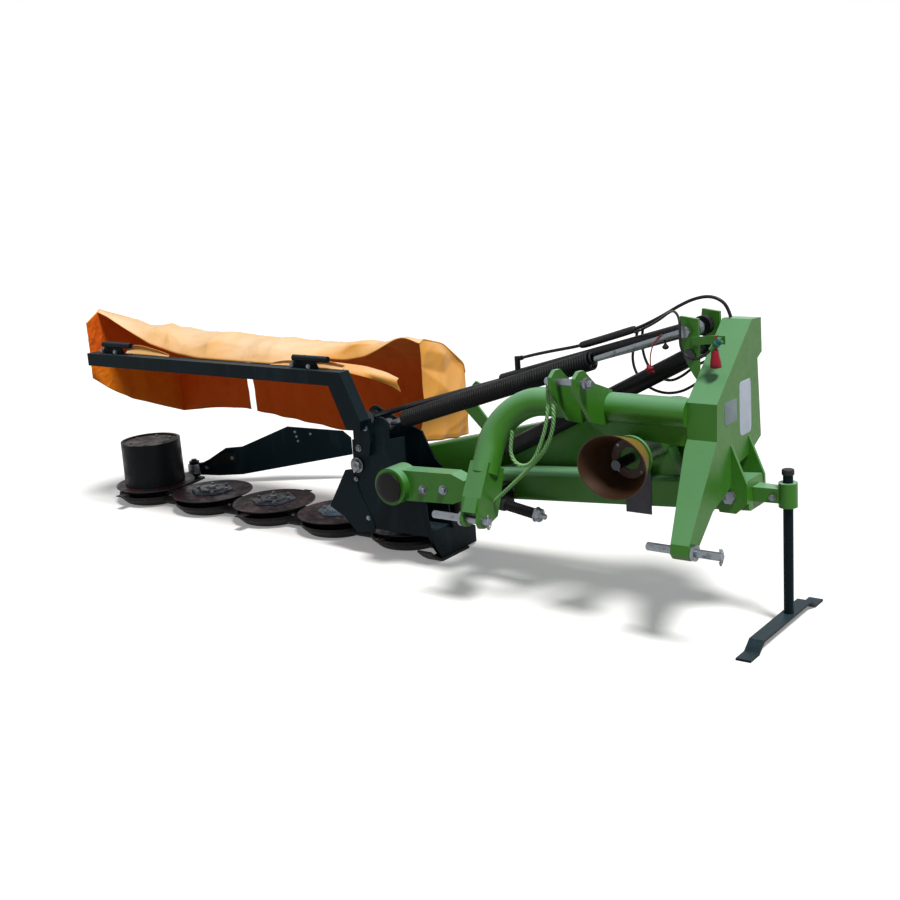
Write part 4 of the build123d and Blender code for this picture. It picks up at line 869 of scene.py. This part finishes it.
# Blank patches: name, y and z of the middle, width, height, finish
LABELS = [("label_tall", 416.0, 735.0, 92.0, 188.0, LABEL),
          ("label_small", 302.0, 743.0, 94.0, 78.0, LABEL_GREY)]
LABEL_SIDES = 64
MAST_SIDE_X = 450.0


def make_labels():
    """Thin plates on the mast's side: a rounded outline, a superellipse, carried over its rim."""
    angle = round_angles(LABEL_SIDES)
    across, up = (np.sign(c) * np.abs(c) ** 0.25 / 2 for c in (np.cos(angle), np.sin(angle)))
    for name, y, z, wide, tall, finish in LABELS:
        rings = [np.stack([np.full(LABEL_SIDES, MAST_SIDE_X + lift), y + across * wide * share,
                           z + up * tall * share], axis=1)
                 for share, lift in ((1.0, 0.0), (1.0, 0.5), (0.98, 0.8), (0.02, 0.8))]
        piece = surface(name, place(np.stack(rings)), wrap=True, caps=True)
        finish_piece(piece, "headstock", "grey_flap", finish)


def wire_loop(name, body, slot, material, points, radius, steady):
    """A bent wire: a circle carried along a smooth spline with the given control points."""
    curve = route_curve(f"{name}_line", points)
    path = even_path(curve_points(curve), radius / 1000)
    bpy.data.objects.remove(curve)
    return finish_piece(tube(name, path, radius / 1000, 10, steady), body, slot, material)


def make_turned_parts():
    """Coupler, caps and knob turned from profiles, and the cords of two caps."""
    turned("coupler_sleeve", "headstock", "black_rubber", TEAL,
           [(9.3, 20), (12.6, 22), (12.6, 30), (11.4, 31), (11.4, 34), (12.6, 35), (12.6, 47),
            (9.0, 48.6), (4, 49)], (402, 258, 957), (30, 8, 31))
    turned("dust_cap", "headstock", "black_rubber", RED,
           [(3, -4), (9, 0), (12, 7), (14, 26), (18, 44), (19, 62), (16, 63), (14, 46)],
           (414, 266, 960), (0.02, 0.05, -1))
    wire_loop("cap_cord", "headstock", "black_rubber", RED,
              [(424, 268, 1006), (420, 262, 996), (415, 264, 980), (414, 266, 962)], 2.6, BACK)
    turned("star_cap", "relief_rod", "black_rubber", RED,
           [(5, 0), (9, 3), (15, 7), (15, 12), (8, 16), (3, 17)],
           (143, 328, 868), (0, -0.5, -0.2), deep=0.28)
    wire_loop("star_cord", "relief_rod", "black_rubber", RED,
              [(180, 344, 985), (160, 330, 965), (146, 327, 930), (140, 328, 895),
               (143, 328, 869)], 2.2, BACK)
    turned("valve_knob", "relief_rod", "black_rubber", None,
           [(3, 0), (3, 8), (7, 14), (11, 18), (12, 23), (8, 28), (2, 30)],
           (190, 350, 962), (0, 0, -1))
    turned("hinge_cap", "bar", "black_paint", None,
           [(61, 0), (61, 4), (58, 7), (44, 9), (20, 10), (2, 10)],
           (-960, 189, 353), FRONT, sides=48)


def make_linch_pins():
    """A pin through each lower hitch pin, and the wire ring that holds it."""
    for name, x in (("linch_right", -352.0), ("linch_left", 548.0)):
        pin = [(x, 0, z) for z in (370, 352, 332, 314)]
        wire_loop(f"{name}_pin", "headstock", "zinc", None, pin, 4.2, BACK)
        angle = np.radians(np.linspace(80, -150, 12))
        ring = np.stack([np.full(12, x), 3 + 17 * np.cos(angle), 342 + 26 * np.sin(angle)], axis=1)
        wire_loop(f"{name}_ring", "headstock", "zinc", BOLT_STEEL, ring, 1.8, (1, 0, 0))


def make_latch_ends():
    """The break-back latch's rubber boot and its nut."""
    turned("latch_boot", "headstock", "black_rubber", None,
           [(15, 0), (26, 1), (27, 7), (22, 10), (27, 14), (22, 18), (27, 22), (22, 26), (26, 31),
            (24, 36), (12, 37)], (-470, 240, 336.6), LATCH_WAY, sides=36)
    turned("latch_nut", "headstock", "zinc", None,
           [(18, 0), (28, 1), (28, 6), (25, 7), (25, 24), (20, 27), (10, 28), (10, 44), (7, 46),
            (2, 46)], (-306, 240, 311.2), LATCH_WAY, sides=36, deep=0.035, waves=6)


def make_guard_stay():
    """A bent plate before the belt guard: its outline in X and Z between two faces, soft-edged."""
    outline = np.array([(-690, 506), (-632, 522), (-638, 552), (-716, 642), (-700, 700),
                        (-676, 722), (-718, 739), (-760, 696), (-783, 622), (-684, 528)], float)
    plate = np.stack([np.insert(outline, 1, y, axis=1) for y in (481.0, 491.0)])
    piece = surface("guard_stay", place(plate), wrap=True, caps=True, smooth=False)
    bevel = piece.modifiers.new("soft_edge", "BEVEL")
    bevel.width = 0.002
    bevel.segments = 2
    finish_piece(piece, "headstock", "green_paint")


def make_latch_spring():
    """The break-back latch's coils, wound over its rod."""
    start, run = np.array([-434.0, 240.0, 331.0]), np.array([126.0, 0.0, -19.5])
    coils = coil("latch_coils", start, run, BACK, 18, 14, 18, 3.2)
    finish_piece(coils, "headstock", "black_paint")


def make_board_parts():
    """Rivets on the board, and the coil about its upright pivot that springs it back."""
    along = np.array([math.cos(BOARD_ANGLE), math.sin(BOARD_ANGLE), 0])
    facing = np.array([math.sin(BOARD_ANGLE), -math.cos(BOARD_ANGLE), 0])
    spots = [(560, 262, 5, 4), (566, 238, 5, 4), (572, 214, 5, 4), (640, 250, 5, 4),
             (215, 134, 10, 14), (70, 86, 9, 13)]
    heads = [(*(BOARD_PIVOT + along * run + facing * 4 + [0, 0, z]), size, tall)
             for run, z, size, tall in spots]
    bolt_heads("board_bolts", "swath_board", faced(facing, heads))
    run = np.array([0.0, 0.0, 50.0])
    coils = coil("board_coil", BOARD_PIVOT + [0, 0, 52], run, (1, 0, 0), 31, 7, 20, 3.4)
    finish_piece(coils, "swath_board", "zinc")


# Camera, floor and light


# The photograph's viewpoint: lens in mm, eye from the hitch, turn, tilt and roll, all solved
LENS = 53.735
EYE = (2331.5, -3721.0, 1770.2)
YAW, DOWN, ROLL = (math.radians(angle) for angle in (37.27, 14.10, -3.98))


def aim(lamp, way):
    lamp.rotation_euler = Vector(way).to_track_quat("-Z", "Y").to_euler()


def set_camera():
    """Axes from the turn about Z, then the tilt, then the roll about the line of sight."""
    cam = bpy.data.cameras.new("camera")
    cam.sensor_width = 36.0
    cam.lens = LENS
    cam.clip_end = 100.0
    eye = link("camera", cam)
    right = Vector((math.cos(YAW), math.sin(YAW), 0.0))
    ahead = Vector((-math.sin(YAW), math.cos(YAW), 0.0))
    up = Vector((0.0, 0.0, 1.0))
    look = math.cos(DOWN) * ahead - math.sin(DOWN) * up
    rise = math.sin(DOWN) * ahead + math.cos(DOWN) * up
    side = math.cos(ROLL) * right + math.sin(ROLL) * rise
    top = -math.sin(ROLL) * right + math.cos(ROLL) * rise
    turn = Matrix((side, top, -look)).transposed()
    eye.matrix_world = Matrix.Translation(Vector(place(EYE))) @ turn.to_4x4()
    bpy.context.scene.camera = eye


def direct_rays(nt):
    """One for the rays that the camera sees, also by gloss or through glass, zero for the rest."""
    ray = nt.nodes.new("ShaderNodeLightPath")
    found = ray.outputs["Is Camera Ray"]
    for kind in ("Is Glossy Ray", "Is Transmission Ray"):
        values = {0: found, 1: ray.outputs[kind]}
        found = add_node(nt, "ShaderNodeMath", values, operation="MAXIMUM").outputs[0]
    return found


def seen_or_lit(nt, seen, lit):
    """The first shader for direct rays, the second for the rest."""
    values = {"Fac": direct_rays(nt), 1: lit.outputs[0], 2: seen.outputs[0]}
    return add_node(nt, "ShaderNodeMixShader", values).outputs[0]


def set_world():
    """White to the camera and to gloss, a dim sky to the object."""
    world = bpy.data.worlds.new("studio")
    bpy.context.scene.world = world
    world.use_nodes = True
    nt = world.node_tree
    nt.nodes.clear()
    seen = add_node(nt, "ShaderNodeBackground", {"Color": (1, 1, 1, 1), "Strength": 1.0})
    lit = add_node(nt, "ShaderNodeBackground", {"Color": (0.90, 0.95, 1.0, 1), "Strength": 0.18})
    add_node(nt, "ShaderNodeOutputWorld", {"Surface": seen_or_lit(nt, seen, lit)})


def set_floor():
    """A white floor that takes soft shadows, dim to the object so that it throws little light."""
    mesh = bpy.data.meshes.new("floor")
    mesh.from_pydata([(-60, -60, 0), (60, -60, 0), (60, 60, 0), (-60, 60, 0)], [], [(0, 1, 2, 3)])
    floor = link("floor", mesh)
    mat, nt, bsdf = new_material("floor")
    fill(nt, bsdf, {"Base Color": (0.86, 0.86, 0.86, 1), "Roughness": 0.9,
                    "Specular IOR Level": 0.0})
    glow = add_node(nt, "ShaderNodeEmission", {"Color": (1, 1, 1, 1), "Strength": 0.22})
    seen = add_node(nt, "ShaderNodeAddShader", {0: bsdf.outputs[0], 1: glow.outputs[0]})
    under = add_node(nt, "ShaderNodeBsdfDiffuse", {"Color": (0.24, 0.24, 0.24, 1)})
    fill(nt, nt.nodes["Material Output"], {"Surface": seen_or_lit(nt, seen, under)})
    mesh.materials.append(mat)


def set_lamps():
    """A broad sun from above and behind the camera, and a weak soft lamp beside it."""
    sun = bpy.data.lights.new("sun", "SUN")
    sun.energy = 3.5
    sun.angle = math.radians(14)
    sun.color = (1.0, 0.985, 0.95)
    aim(link("sun", sun), (-0.42, 0.20, -0.88))
    soft = bpy.data.lights.new("fill", "AREA")
    soft.size = 4.0
    soft.energy = 10
    soft.color = (0.92, 0.96, 1.0)
    lamp = link("fill", soft)
    lamp.location = (2.5, -5.0, 1.8)
    aim(lamp, Vector((0, 0, 0.5)) - lamp.location)


bpy.context.scene.view_settings.view_transform = "Standard"
dress_cad()
make_canopy()
make_spring()
make_cords()
make_bolts()
make_labels()
make_turned_parts()
make_linch_pins()
make_latch_ends()
make_guard_stay()
make_latch_spring()
make_board_parts()
set_camera()
set_world()
set_floor()
set_lamps()
